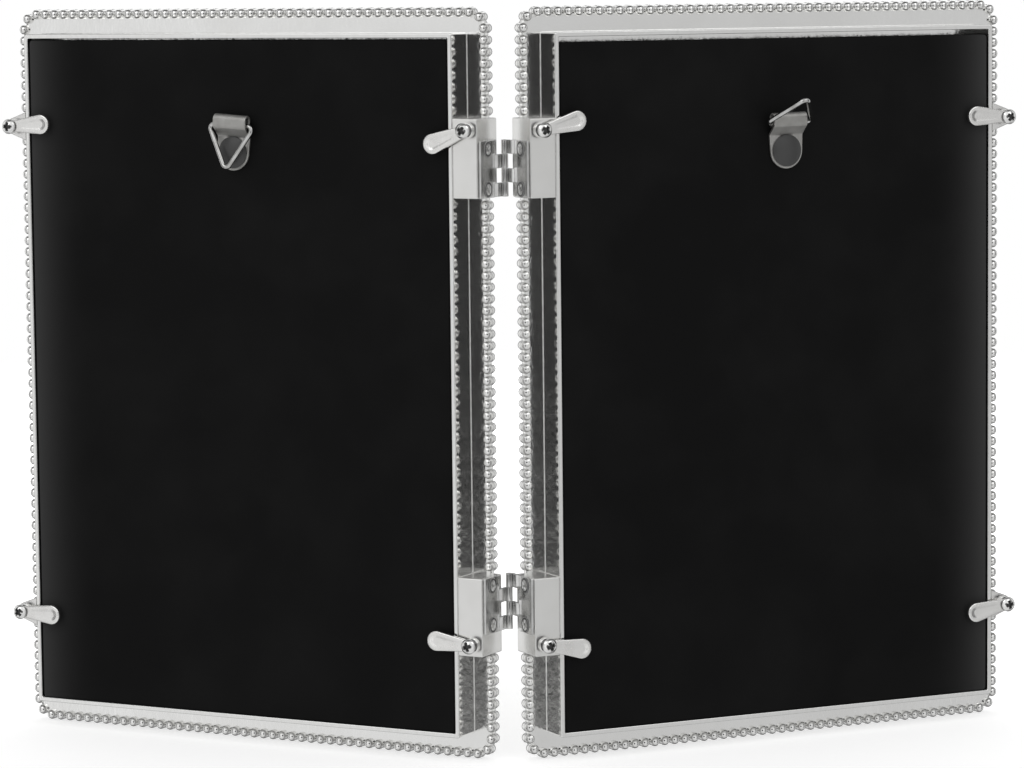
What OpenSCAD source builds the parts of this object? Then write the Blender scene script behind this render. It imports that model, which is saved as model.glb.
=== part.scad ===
// Hinged double picture frame: two beaded metal frames joined along one side by two small butt hinges.
// Each frame is a face plate with a bead border, a rear tray for glass, print, card and board,
// four turn buttons that hold the board, and a ring hanger riveted to it.
// It stands open like a book. The fronts face -Y, the backs +Y, the hinge pins are vertical and z is up.
// One panel is drawn in its own axes: x runs from the bead line next to the hinge out to the free side,
// y runs towards the back from the middle of the beads' rear domes, and z runs up from the lower bead line.

/* [Picture] */
// Width of the glass
glass_w = 127; // [100:1:150]
// Height of the glass
glass_h = 178; // [150:1:210]
// Thickness of the glass
glass_t = 2; // [1.5:0.1:3]
// Thickness of the picture sheet
print_t = 0.3; // [0.2:0.05:0.5]
// Thickness of the card behind the picture
card_t = 2.9; // [2:0.1:4]
// Thickness of the back board
board_t = 3; // [2.5:0.1:4]
// Gap between the edge of the glass and the wall of the tray
glass_play = 1; // [0.5:0.1:1.5]
// How far the face plate covers the space inside the tray
lip_w = 4; // [3:0.5:6]

/* [Frame] */
// Thickness of the tray's wall
tray_wall = 1.2; // [0.8:0.1:1.6]
// How far the back board lies below the rim of the tray
board_drop = 0.3; // [0.2:0.1:1]
// Thickness of the face plate
face_t = 2.3; // [1.8:0.1:3]
// Height of the raised step along the picture opening
step_t = 0.4; // [0.2:0.1:0.8]
// Width of the raised step
step_w = 1.6; // [1:0.1:2.5]
// Distance from the outside of the tray to the line of beads
edge_margin = 5.2; // [4.5:0.1:8]
// How far the back of the face plate lies in front of the middle of the beads' rear domes
face_setback = 0.3; // [0.2:0.1:0.8]

/* [Beads] */
// Radius of a bead
bead_r = 1.35; // [1.1:0.05:1.45]
// Straight length between the two domes of a bead
bead_body = 1.6; // [1:0.1:2]
// Spacing of the beads along the top and the bottom
bead_pitch_across = 2.97; // [2.9:0.01:3.4]
// Spacing of the beads up the sides
bead_pitch_up = 3.03; // [2.9:0.01:3.4]
// Radius of the line of beads at the corners
bead_corner_r = 4.1; // [3.5:0.1:4.5]

/* [Fold] */
// Angle between the two fronts as the frame stands
open_angle = 126.6; // [100:0.1:150]

/* [Hinges] */
// How far a hinge bracket reaches past the line of beads
bracket_reach = 2; // [1.8:0.1:3]
// Height of a hinge bracket
bracket_h = 20.4; // [19:0.1:24]
// Distance from the upper or lower line of beads to the bracket
bracket_inset = 27; // [26:0.5:34]
// Height of a hinge
hinge_h = 14.7; // [14:0.1:16]
// Thickness of a hinge leaf
leaf_t = 0.7; // [0.5:0.05:0.8]
// Distance from the brackets' side out to the pin's axis
pin_reach = 1.2; // [1.1:0.05:1.4]
// Radius of a hinge knuckle
knuckle_r = 0.9; // [0.8:0.05:1.1]
// Radius of a hinge pin
pin_r = 0.46; // [0.3:0.02:0.5]
// Distance from the middle of the beads' rear domes forward to the pin
pin_forward = 4.6; // [4.3:0.1:6]
// How far the leaf stays short of the bracket's rear face
leaf_rear_inset = 0.7; // [0.3:0.1:1.5]
// Distance from the pin back to the front edge of the leaf between knuckles
leaf_notch = 4.5; // [3:0.1:5]
// Distance between the two screws in a leaf
hinge_screw_spacing = 10.3; // [9.5:0.1:11]
// Distance from a leaf's rear edge to its screws
hinge_screw_inset = 3.7; // [3:0.1:4.5]
// Radius of a hinge screw's head
hinge_screw_head_r = 2.1; // [1.6:0.1:2.2]
// Radius of a hinge screw's shank
hinge_screw_r = 0.9; // [0.7:0.05:1]
// Length of a hinge screw's shank in the bracket
hinge_screw_grip = 4.5; // [3:0.5:5.5]
// How far a hinge screw's head stands proud of the leaf
hinge_screw_proud = 0.25; // [0.1:0.05:0.3]

/* [Turn buttons] */
// Distance from the upper or lower line of beads to a button's pivot
button_inset = 30; // [29.5:0.1:38]
// Distance from the tray's wall to a pivot on a hinge bracket
button_out_spine = 4.3; // [4:0.1:4.6]
// Distance from the tray's wall to a pivot on the free side
button_out_free = 3.8; // [3.5:0.1:4.5]
// Distance from the pivot to the middle of the button's wide end
button_len = 9.8; // [8:0.1:12]
// Radius of the button's wide end
button_tip_r = 2.65; // [2.2:0.05:2.8]
// Radius of the button's narrow end
button_hub_r = 1.4; // [1.3:0.05:2.1]
// Thickness of a button
button_t = 1.1; // [0.8:0.1:1.6]
// Height of the washer under a button
spacer_t = 0.9; // [0.7:0.1:1.2]
// Radius of the washer under a button
spacer_r = 1.9; // [1.7:0.1:2.1]
// Radius of a button screw's head
button_screw_head_r = 2; // [1.6:0.1:2.1]
// Height of a button screw's head
button_screw_head_t = 1.6; // [1.2:0.1:2]
// Radius of a button screw's shank
button_screw_r = 0.9; // [0.7:0.05:1]
// Depth of a button screw in its bracket or ear
button_screw_grip = 2.6; // [2:0.1:2.8]
// Depth of an ear that carries a button on the free side
ear_t = 3; // [2.9:0.1:5]
// Half the width of an ear where it meets the tray
ear_root_r = 3.6; // [3:0.1:4.5]
// Radius of an ear round its screw
ear_tip_r = 2.3; // [2.1:0.1:2.6]

/* [Hanger] */
// Distance from the outside top of the tray down to the rivet of the +X frame
right_rivet_drop = 31.1; // [26:0.1:60]
// Distance from the outside top of the tray down to the rivet of the -X frame
left_rivet_drop = 32; // [26:0.1:60]
// How far the +X frame's rivet lies from the middle of its board, outwards
right_rivet_off = -0.3; // [-5:0.1:5]
// How far the -X frame's rivet lies from the middle of its board, outwards
left_rivet_off = 1.7; // [-5:0.1:5]
// Radius of the rivet's cap
rivet_cap_r = 4.2; // [3:0.1:4.5]
// Height of the rivet's cap
rivet_cap_t = 1.3; // [0.8:0.1:1.4]
// Height of the upright rim of the rivet's cap
rivet_cap_rim_t = 0.3; // [0.2:0.05:0.4]
// Radius of the rivet's shank
rivet_r = 1.6; // [1.2:0.1:2]
// Radius of the rivet's spread end inside the board
rivet_tail_r = 3; // [2.4:0.1:3.5]
// Thickness of the rivet's spread end
rivet_tail_t = 0.8; // [0.5:0.1:1]
// Thickness of the hanger's strap
strap_t = 0.7; // [0.5:0.05:0.8]
// Radius of the strap's round end
strap_end_r = 4.75; // [4.5:0.05:4.9]
// Width of the strap at its loop
strap_w = 9.9; // [9:0.1:10]
// Distance from the rivet to the middle of the loop
strap_len = 8.6; // [8.4:0.1:9.5]
// How far below the loop's upper end the ring hangs
loop_drop = 1.3; // [0.8:0.1:1.5]
// How far the loop is bent away from the board
loop_out = 0.7; // [0.3:0.1:1]
// Radius of the ring's wire
ring_wire_r = 0.65; // [0.5:0.05:0.7]
// Side of the three-cornered ring along the middle of its wire, before its corners are rounded
ring_side = 14.2; // [14.2:0.1:15.5]
// Radius of the ring's corners along the middle of the wire
ring_bend_r = 1.2; // [1:0.05:1.2]

/* [Hidden] */
$fn = 48;

// Clearances: between fixed pieces, round a turning pin, and along its axis
fixed_play = 0.05;
turning_play = 0.08;
pin_play = 0.04;
axial_play = 0.05;
overrun = 1;
tuck_share = 0.985;

// Angles of the turn buttons as photographed, up from straight across the board
right_spine_upper_turn = -20.4;
right_spine_lower_turn = 4.5;
right_outer_upper_turn = 3.6;
right_outer_lower_turn = -1.9;
left_spine_upper_turn = 12.6;
left_spine_lower_turn = -9;
left_outer_upper_turn = 2.5;
left_outer_lower_turn = -9.5;

// Hangers: turn of the strap on its rivet, and swing of the ring from straight down along the board
right_strap_turn = -4;
left_strap_turn = -1.5;
right_ring_swing = 9;
left_ring_swing = 123;

// Gap between the top of each board and the tray, and at each side of it
right_board_gap = 0.4;
left_board_gap = 1.4;
board_side_play = 0.3;

// Opening of the tray and the lines that follow from it
tray_in_w = glass_w + 2 * glass_play;
tray_in_h = glass_h + 2 * glass_play;
tray_out_w = tray_in_w + 2 * tray_wall;
tray_out_h = tray_in_h + 2 * tray_wall;
line_w = tray_out_w + 2 * edge_margin;
line_h = tray_out_h + 2 * edge_margin;
inner_x = edge_margin + tray_wall;
inner_z = edge_margin + tray_wall;

// Levels from front to back
face_back = -face_setback;
face_front = face_back - face_t;
glass_back = face_back + glass_t;
print_back = glass_back + print_t;
card_back = print_back + card_t;
board_back = card_back + board_t;
rim = board_back + board_drop;

// Beads
spaces_across = round((line_w - 2 * bead_corner_r) / bead_pitch_across);
spaces_up = round((line_h - 2 * bead_corner_r) / bead_pitch_up);
pitch_across = (line_w - 2 * bead_corner_r) / spaces_across;
pitch_up = (line_h - 2 * bead_corner_r) / spaces_up;

// Hinges
tilt = (180 - open_angle) / 2;
pin_side = bracket_reach + pin_reach;
bracket_mid = bracket_inset + bracket_h / 2;
hinge_low = bracket_inset + bracket_h - hinge_h;
knuckle_h = hinge_h / 4;
leaf_rear = rim - leaf_rear_inset;
leaf_front = -pin_forward + leaf_notch;
leaf_x = -bracket_reach - leaf_t;
hinge_screw_y = leaf_rear - hinge_screw_inset;
hinge_screw_mid = hinge_low + hinge_h / 2;
head_cone_t = leaf_t - fixed_play;
recess_w_share = 0.26;
recess_len_share = 1.15;
recess_depth_share = 0.5;

// Turn buttons
spine_pivot_x = edge_margin - button_out_spine;
free_pivot_x = edge_margin + tray_out_w + button_out_free;
button_y = rim + spacer_t + axial_play;
button_head_y = button_y + button_t + axial_play;
dimple_r = 0.5;
dimple_depth = 0.35;
head_rim_t = 0.5;
head_dome_t = button_screw_head_t - head_rim_t;
head_dome_r = (pow(button_screw_head_r, 2) + pow(head_dome_t, 2)) / (2 * head_dome_t);

// Hanger, measured out from the back of the board
right_rivet = [line_w / 2 + right_rivet_off, 0, line_h - edge_margin - right_rivet_drop];
left_rivet = [line_w / 2 + left_rivet_off, 0, line_h - edge_margin - left_rivet_drop];
strap_y = board_back + axial_play;
loop_r = ring_wire_r + turning_play + strap_t;
loop_y = strap_y + loop_r + loop_out;
cap_y = strap_y + strap_t + axial_play;

// The strap is flat as far as the cap's edge, then slopes until it meets the front of its loop
bend_z = rivet_cap_r + axial_play;
ring_z = strap_len - loop_drop;
bend_away = [loop_y - strap_y - strap_t, ring_z - bend_z];
slope = atan2(bend_away[0], bend_away[1]) + asin(loop_r / norm(bend_away));
meet_y = loop_y + tuck_share * loop_r * cos(slope);
meet_z = ring_z - tuck_share * loop_r * sin(slope);

// The hinge line is placed so that the whole frame is centred on the origin from front to back
rear_most = (button_head_y + button_screw_head_t - head_dome_r + pin_forward) * cos(tilt)
          - (spine_pivot_x + pin_side) * sin(tilt) + head_dome_r;
front_most = (pin_forward - bead_body) * cos(tilt) - (line_w + pin_side) * sin(tilt) - bead_r;
hinge_y = -(rear_most + front_most) / 2;

// Puts a panel that is drawn in its own axes where it stands on the +X side
module on_right() {
    translate([0, hinge_y, bead_r])
        rotate([0, 0, -tilt])
            translate([pin_side, pin_forward, 0])
                children();
}

// The same on the -X side, mirrored
module on_left() {
    mirror([1, 0, 0]) on_right() children();
}

// A plate whose outline lies in x and z, from one level to another level further back
module plate(from_y, to_y) {
    translate([0, to_y, 0])
        rotate([90, 0, 0])
            linear_extrude(to_y - from_y)
                children();
}

// A round piece about an axis that points to the back, drawn as half of its section
module turned_back() {
    rotate([-90, 0, 0])
        rotate_extrude()
            children();
}

// A cylinder along y from one level to another, for round plates, shanks and holes
module rod_back(r, from_y, to_y) {
    translate([0, from_y, 0])
        rotate([-90, 0, 0])
            cylinder(r = r, h = to_y - from_y);
}

module rounded(x0, z0, w, h, r) {
    translate([x0 + r, z0]) square([w - 2 * r, h]);
    translate([x0, z0 + r]) square([w, h - 2 * r]);
    for (x = [x0 + r, x0 + w - r], z = [z0 + r, z0 + h - r])
        translate([x, z]) circle(r = r);
}

// A flat plate with two round ends on the x axis and straight sides between them.
// The sides start a hair inside the round ends, so that all three shapes overlap.
module tapered_plate(r0, r1, len, from_y, to_y) {
    a = tuck_share * r0;
    b = tuck_share * r1;
    union() {
        rod_back(r0, from_y, to_y);
        translate([len, 0, 0]) rod_back(r1, from_y, to_y);
        plate(from_y, to_y) polygon([[0, a], [len, b], [len, -b], [0, -a]]);
    }
}

// Half of the section of a domed cap that stands on y = 0
module cap_section(r, rim_t, dome_t) {
    dome_r = (r * r + dome_t * dome_t) / (2 * dome_t);
    square([r, rim_t]);
    intersection() {
        translate([0, rim_t + dome_t - dome_r]) circle(r = dome_r);
        translate([0, rim_t]) square([r, dome_t]);
    }
}

// Cross recess cut into a head whose top is at y = 0, about the y axis
module cross_recess(head_r, turn) {
    for (a = [0, 90])
        rotate([0, turn + a, 0])
            translate([-head_r * recess_len_share / 2, -head_r * recess_depth_share, -head_r * recess_w_share / 2])
                cube([head_r * recess_len_share, head_r * recess_depth_share + overrun, head_r * recess_w_share]);
}

// Heights of the lower ends of the two brackets
bracket_zs = [bracket_inset, line_h - bracket_inset - bracket_h];

module bracket_cuts() {
    for (z = bracket_zs)
        translate([-bracket_reach - overrun, z])
            square([bracket_reach + overrun + edge_margin, bracket_h]);
}

module sight_2d(grow) {
    translate([inner_x + lip_w - grow, inner_z + lip_w - grow])
        square([tray_in_w - 2 * lip_w + 2 * grow, tray_in_h - 2 * lip_w + 2 * grow]);
}

module face_frame() {
    color("silver") {
        plate(face_front, face_back)
            difference() {
                rounded(bead_r, bead_r, line_w - 2 * bead_r, line_h - 2 * bead_r, bead_corner_r - bead_r);
                sight_2d(0);
                bracket_cuts();
            }
        plate(face_front - step_t, face_front)
            difference() {
                sight_2d(step_w);
                sight_2d(0);
            }
    }
}

module bead() {
    rotate([90, 0, 0])
        rotate_extrude()
            intersection() {
                union() {
                    circle(r = bead_r);
                    translate([0, bead_body]) circle(r = bead_r);
                    translate([-bead_r, 0]) square([2 * bead_r, bead_body]);
                }
                translate([0, -bead_r]) square([bead_r, bead_body + 2 * bead_r]);
            }
}

// Beads on the hinge side leave room for the brackets
function by_bracket(z) = min([for (b = bracket_zs) abs(z - b - bracket_h / 2)]) < bracket_h / 2 + bead_r;

module bead_border() {
    corner_at = bead_corner_r * (1 - cos(45));
    color("gainsboro") {
        plate(face_front, face_back)
            difference() {
                rounded(0, 0, line_w, line_h, bead_corner_r);
                rounded(bead_r, bead_r, line_w - 2 * bead_r, line_h - 2 * bead_r, bead_corner_r - bead_r);
                bracket_cuts();
            }
        for (i = [0:spaces_across], z = [0, line_h])
            translate([bead_corner_r + i * pitch_across, 0, z]) bead();
        for (i = [0:spaces_up]) {
            z = bead_corner_r + i * pitch_up;
            translate([line_w, 0, z]) bead();
            if (!by_bracket(z))
                translate([0, 0, z]) bead();
        }
        for (x = [corner_at, line_w - corner_at], z = [corner_at, line_h - corner_at])
            translate([x, 0, z]) bead();
    }
}

module rear_tray() {
    color("silver")
        plate(face_back, rim)
            difference() {
                translate([edge_margin, edge_margin]) square([tray_out_w, tray_out_h]);
                translate([inner_x, inner_z]) square([tray_in_w, tray_in_h]);
            }
}

// A sheet of the glass's size that stands on the tray's lower wall
module sheet(from_y, to_y) {
    plate(from_y, to_y)
        translate([inner_x + glass_play, inner_z])
            square([glass_w, glass_h]);
}

module glass() {
    color("lightcyan", 0.4) sheet(face_back, glass_back);
}

module photo_insert() {
    color("whitesmoke") sheet(glass_back, print_back);
}

module backing_card() {
    color("tan") sheet(print_back, card_back);
}

module back_board(top_gap, rivet) {
    color([0.08, 0.08, 0.08])
        difference() {
            plate(card_back, board_back)
                translate([inner_x + board_side_play, inner_z])
                    square([tray_in_w - 2 * board_side_play, tray_in_h - top_gap]);
            translate(rivet) {
                rod_back(rivet_r + fixed_play, card_back - overrun, board_back + overrun);
                rod_back(rivet_tail_r + fixed_play, card_back - overrun, card_back + rivet_tail_t + fixed_play);
            }
        }
}

// One bracket block, with the holes for a button screw and for the two hinge screws.
// It is drawn for the lower end, and the upper one is its mirror image in height.
module bracket_block() {
    color("silver")
        difference() {
            translate([-bracket_reach, face_front, bracket_inset])
                cube([bracket_reach + edge_margin, rim - face_front, bracket_h]);
            translate([spine_pivot_x, 0, button_inset])
                rod_back(button_screw_r + fixed_play, rim - button_screw_grip - fixed_play, rim + overrun);
            for (s = [-1, 1])
                translate([-bracket_reach - overrun, hinge_screw_y, hinge_screw_mid + s * hinge_screw_spacing / 2])
                    rotate([0, 90, 0])
                        cylinder(r = hinge_screw_r + fixed_play, h = hinge_screw_grip + fixed_play + overrun);
        }
}

module at_upper() {
    translate([0, 0, line_h]) mirror([0, 0, 1]) children();
}

module button_ears() {
    color("silver")
        for (z = [button_inset, line_h - button_inset])
            translate([free_pivot_x, 0, z])
                difference() {
                    rotate([0, 180, 0])
                        tapered_plate(ear_tip_r, ear_root_r, button_out_free, rim - ear_t, rim);
                    translate([-button_out_free - 2 * ear_root_r, rim - ear_t - overrun, -2 * ear_root_r])
                        cube([2 * ear_root_r, ear_t + 2 * overrun, 4 * ear_root_r]);
                    rod_back(button_screw_r + fixed_play, rim - ear_t - overrun, rim + overrun);
                }
}

// A turn button about its own pivot, pointing along x, and turned about y
module button(turn) {
    color("silver")
        rotate([0, turn, 0])
            difference() {
                tapered_plate(button_hub_r, button_tip_r, button_len, button_y, button_y + button_t);
                rod_back(button_screw_r + turning_play, button_y - overrun, button_y + button_t + overrun);
                translate([button_len, 0, 0])
                    rod_back(dimple_r, button_y + button_t - dimple_depth, button_y + button_t + overrun);
            }
}

// Buttons on the hinge side point to +x and those on the free side to -x; a positive turn raises the tip
module spine_button(z, turn) {
    translate([spine_pivot_x, 0, z]) button(-turn);
}

module free_button(z, turn) {
    translate([free_pivot_x, 0, z]) button(180 + turn);
}

// Places its children at the four button pivots
module at_pivots() {
    for (x = [spine_pivot_x, free_pivot_x], z = [button_inset, line_h - button_inset])
        translate([x, 0, z]) children();
}

module button_screws() {
    color("gainsboro")
        at_pivots() {
            rod_back(button_screw_r, rim - button_screw_grip, button_head_y + head_rim_t);
            difference() {
                translate([0, button_head_y, 0])
                    turned_back()
                        cap_section(button_screw_head_r, head_rim_t, head_dome_t);
                translate([0, button_head_y + button_screw_head_t, 0])
                    cross_recess(button_screw_head_r, 30);
            }
        }
}

module button_spacers() {
    color("silver")
        at_pivots()
            difference() {
                rod_back(spacer_r, rim, rim + spacer_t);
                rod_back(button_screw_r + fixed_play, rim - overrun, rim + spacer_t + overrun);
            }
}

// A screw with a low domed countersunk head, along +x, its cone's wide end at x = 0
module countersunk_screw(turn) {
    proud_r = (pow(hinge_screw_head_r, 2) + pow(hinge_screw_proud, 2)) / (2 * hinge_screw_proud);
    rotate([0, 90, 0]) {
        cylinder(r1 = hinge_screw_head_r, r2 = hinge_screw_r, h = head_cone_t);
        cylinder(r = hinge_screw_r, h = leaf_t + hinge_screw_grip);
    }
    difference() {
        rotate([0, -90, 0])
            rotate_extrude()
                intersection() {
                    translate([0, hinge_screw_proud - proud_r]) circle(r = proud_r);
                    square([hinge_screw_head_r, hinge_screw_proud]);
                }
        translate([-hinge_screw_proud, 0, 0])
            rotate([0, 0, 90])
                cross_recess(hinge_screw_head_r, turn);
    }
}

// A leaf for the lower hinge, with knuckles in the places that are listed from the bottom up
module hinge_leaf(places) {
    color("silver")
        difference() {
            union() {
                translate([leaf_x, leaf_front, hinge_low])
                    cube([leaf_t, leaf_rear - leaf_front, hinge_h]);
                for (i = places)
                    translate([0, 0, hinge_low + i * knuckle_h + axial_play]) {
                        translate([leaf_x, -pin_forward, 0])
                            cube([leaf_t, leaf_notch + leaf_t, knuckle_h - 2 * axial_play]);
                        translate([-pin_side, -pin_forward, 0])
                            cylinder(r = knuckle_r, h = knuckle_h - 2 * axial_play);
                    }
            }
            translate([-pin_side, -pin_forward, hinge_low - overrun])
                cylinder(r = pin_r + pin_play, h = hinge_h + 2 * overrun);
            for (s = [-1, 1])
                translate([leaf_x, hinge_screw_y, hinge_screw_mid + s * hinge_screw_spacing / 2])
                    rotate([0, 90, 0]) {
                        cylinder(r1 = hinge_screw_head_r + fixed_play, r2 = hinge_screw_r + fixed_play, h = head_cone_t);
                        cylinder(r = hinge_screw_r + fixed_play, h = leaf_t + overrun);
                    }
        }
}

module hinge_screws() {
    color("gainsboro")
        for (s = [-1, 1]) {
            translate([leaf_x, hinge_screw_y, hinge_screw_mid + s * hinge_screw_spacing / 2])
                countersunk_screw(25 * s);
            at_upper()
                translate([leaf_x, hinge_screw_y, hinge_screw_mid + s * hinge_screw_spacing / 2])
                    countersunk_screw(-40 * s);
        }
}

module hinge_pin() {
    color("gray")
        translate([-pin_side, -pin_forward, hinge_low])
            cylinder(r = pin_r, h = hinge_h);
}

// The strap about its rivet: a flat tongue with a round end, bent away from the board and rolled into a loop
// A rod along x with a long section: two round ends, loop_drop apart in height
module long_loop(r, w) {
    translate([-w / 2, 0, 0])
        rotate([90, 0, 90])
            linear_extrude(w)
                translate([loop_y, ring_z]) {
                    circle(r = r);
                    translate([0, loop_drop]) circle(r = r);
                    translate([-r, 0]) square([2 * r, loop_drop]);
                }
}

module hanger_strap(rivet, turn) {
    color("lightgray")
        translate(rivet)
            rotate([0, turn, 0])
                difference() {
                    union() {
                        plate(strap_y, strap_y + strap_t) {
                            circle(r = strap_end_r);
                            translate([-strap_end_r, 0]) square([2 * strap_end_r, bend_z + strap_t]);
                        }
                        translate([-strap_w / 2, 0, 0])
                            rotate([90, 0, 90])
                                linear_extrude(strap_w)
                                    polygon([[strap_y + axial_play, bend_z], [strap_y + strap_t - axial_play, bend_z], [meet_y, meet_z],
                                             [meet_y - strap_t * cos(slope), meet_z + strap_t * sin(slope)]]);
                        long_loop(loop_r, strap_w);
                    }
                    long_loop(ring_wire_r + turning_play, strap_w + 2 * overrun);
                    rod_back(rivet_r + turning_play, strap_y - overrun, strap_y + strap_t + overrun);
                }
}

module hanger_rivet(rivet) {
    color([0.05, 0.05, 0.05])
        translate(rivet) {
            rod_back(rivet_tail_r, card_back, card_back + rivet_tail_t);
            rod_back(rivet_r, card_back, cap_y + axial_play);
            translate([0, cap_y, 0])
                turned_back()
                    cap_section(rivet_cap_r, rivet_cap_rim_t, rivet_cap_t - rivet_cap_rim_t);
        }
}

// A three-cornered wire ring whose upper side lies on the x axis and which hangs in -z
module wire_triangle() {
    straight = ring_side - 2 * ring_bend_r * tan(60);
    centre_z = -ring_side / 2 * tan(30);
    for (a = [0, 120, 240])
        translate([0, 0, centre_z])
            rotate([0, a, 0]) {
                translate([-straight / 2, 0, -centre_z])
                    rotate([0, 90, 0])
                        cylinder(r = ring_wire_r, h = straight);
                translate([straight / 2, 0, -centre_z - ring_bend_r])
                    rotate([90, 0, 0])
                        rotate([0, 0, -30])
                            rotate_extrude(angle = 120)
                                translate([ring_bend_r, 0]) circle(r = ring_wire_r);
            }
}

module hanger_ring(rivet, turn, swing) {
    color("lightgray")
        translate(rivet)
            rotate([0, turn, 0])
                translate([0, loop_y, ring_z])
                    rotate([swing, 0, 0])
                        wire_triangle();
}

// The frame on the -X side
on_left() face_frame();  // left_face_frame
on_left() bead_border();  // left_bead_border
on_left() rear_tray();  // left_rear_tray
on_left() glass();  // left_glass
on_left() photo_insert();  // left_photo_insert
on_left() backing_card();  // left_backing_card
on_left() back_board(left_board_gap, left_rivet);  // left_back_board
on_left() at_upper() bracket_block();  // left_upper_bracket
on_left() bracket_block();  // left_lower_bracket
on_left() button_ears();  // left_button_ears
on_left() spine_button(line_h - button_inset, left_spine_upper_turn);  // left_spine_upper_button
on_left() spine_button(button_inset, left_spine_lower_turn);  // left_spine_lower_button
on_left() free_button(line_h - button_inset, left_outer_upper_turn);  // left_outer_upper_button
on_left() free_button(button_inset, left_outer_lower_turn);  // left_outer_lower_button
on_left() button_screws();  // left_button_screws
on_left() button_spacers();  // left_button_spacers
on_left() at_upper() hinge_leaf([0, 2]);  // left_upper_hinge_leaf
on_left() hinge_leaf([1, 3]);  // left_lower_hinge_leaf
on_left() hinge_screws();  // left_hinge_screws
on_left() hanger_strap(left_rivet, left_strap_turn);  // left_hanger_strap
on_left() hanger_rivet(left_rivet);  // left_hanger_rivet
on_left() hanger_ring(left_rivet, left_strap_turn, left_ring_swing);  // left_hanger_ring

// The frame on the +X side
on_right() face_frame();  // right_face_frame
on_right() bead_border();  // right_bead_border
on_right() rear_tray();  // right_rear_tray
on_right() glass();  // right_glass
on_right() photo_insert();  // right_photo_insert
on_right() backing_card();  // right_backing_card
on_right() back_board(right_board_gap, right_rivet);  // right_back_board
on_right() at_upper() bracket_block();  // right_upper_bracket
on_right() bracket_block();  // right_lower_bracket
on_right() button_ears();  // right_button_ears
on_right() spine_button(line_h - button_inset, right_spine_upper_turn);  // right_spine_upper_button
on_right() spine_button(button_inset, right_spine_lower_turn);  // right_spine_lower_button
on_right() free_button(line_h - button_inset, right_outer_upper_turn);  // right_outer_upper_button
on_right() free_button(button_inset, right_outer_lower_turn);  // right_outer_lower_button
on_right() button_screws();  // right_button_screws
on_right() button_spacers();  // right_button_spacers
on_right() at_upper() hinge_leaf([1, 3]);  // right_upper_hinge_leaf
on_right() hinge_leaf([0, 2]);  // right_lower_hinge_leaf
on_right() hinge_screws();  // right_hinge_screws
on_right() hanger_strap(right_rivet, right_strap_turn);  // right_hanger_strap
on_right() hanger_rivet(right_rivet);  // right_hanger_rivet
on_right() hanger_ring(right_rivet, right_strap_turn, right_ring_swing);  // right_hanger_ring

// The two pins
on_right() at_upper() hinge_pin();  // upper_hinge_pin
on_right() hinge_pin();  // lower_hinge_pin
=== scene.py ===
# A hinged double picture frame seen from behind: pieces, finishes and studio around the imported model.
# All lengths are in metres. A panel's own axes are x outwards from the bead line next to the hinge,
# y towards the back and z up from the lower bead line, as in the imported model's source.

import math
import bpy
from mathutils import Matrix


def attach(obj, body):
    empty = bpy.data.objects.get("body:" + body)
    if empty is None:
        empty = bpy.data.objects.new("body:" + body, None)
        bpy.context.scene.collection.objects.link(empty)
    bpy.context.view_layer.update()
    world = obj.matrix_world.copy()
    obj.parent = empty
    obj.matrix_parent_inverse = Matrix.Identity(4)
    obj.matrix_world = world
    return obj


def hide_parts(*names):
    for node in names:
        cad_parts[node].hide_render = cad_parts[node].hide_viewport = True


bl_info = {
    "name": "Hinged double picture frame",
    "version": (1, 0, 0),
    "blender": (4, 5, 0),
    "location": "View3D > Sidebar > Picture frame",
    "description": "Builds the beads, trays, boards, buttons, hinges and hangers of a double picture frame",
    "category": "Object",
}

from functools import wraps
from types import SimpleNamespace

import bmesh
import bpy
import numpy as np
from bpy.props import FloatProperty, FloatVectorProperty, IntProperty
from bpy.types import Operator, Panel, PropertyGroup
from mathutils import Matrix, Vector

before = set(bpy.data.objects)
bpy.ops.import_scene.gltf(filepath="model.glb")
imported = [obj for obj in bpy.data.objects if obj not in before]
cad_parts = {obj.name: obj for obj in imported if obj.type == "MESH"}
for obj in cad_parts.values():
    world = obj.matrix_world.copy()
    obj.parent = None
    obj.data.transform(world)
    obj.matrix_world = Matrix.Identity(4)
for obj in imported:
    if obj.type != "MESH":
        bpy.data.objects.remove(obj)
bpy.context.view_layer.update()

SIDES = ("left", "right")
WHITE = (1.0, 1.0, 1.0, 1.0)
# Points closer than this are joined
WELD = 1e-6
# Degrees by which each turn button's wide end is raised from level
BUTTON_TURNS = {
    "right": {"spine_upper": -20.4, "spine_lower": 4.5, "outer_upper": 3.6, "outer_lower": -1.9},
    "left": {"spine_upper": 12.6, "spine_lower": -9.0, "outer_upper": 2.5, "outer_lower": -9.5},
}


def length(name, description, millimetres):
    """A length property, written in millimetres and kept in metres."""
    return FloatProperty(name=name, description=description, default=millimetres * 0.001, min=0.0,
                         unit="LENGTH", precision=5)


def place(name, description, millimetres):
    """A coordinate or offset, written in millimetres and kept in metres."""
    return FloatProperty(name=name, description=description, default=millimetres * 0.001, unit="LENGTH",
                         precision=5)


def amount(name, description, value):
    """A brightness or a share of one."""
    return FloatProperty(name=name, description=description, default=value, min=0.0)


def angle(name, description, degrees):
    """An angle property, written in degrees and kept in radians."""
    return FloatProperty(name=name, description=description, default=math.radians(degrees), subtype="ANGLE")


def tint(name, description, red, green, blue):
    """A colour property, linear and without alpha."""
    return FloatVectorProperty(name=name, description=description, default=(red, green, blue), size=3,
                               min=0.0, max=1.0, subtype="COLOR")


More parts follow.
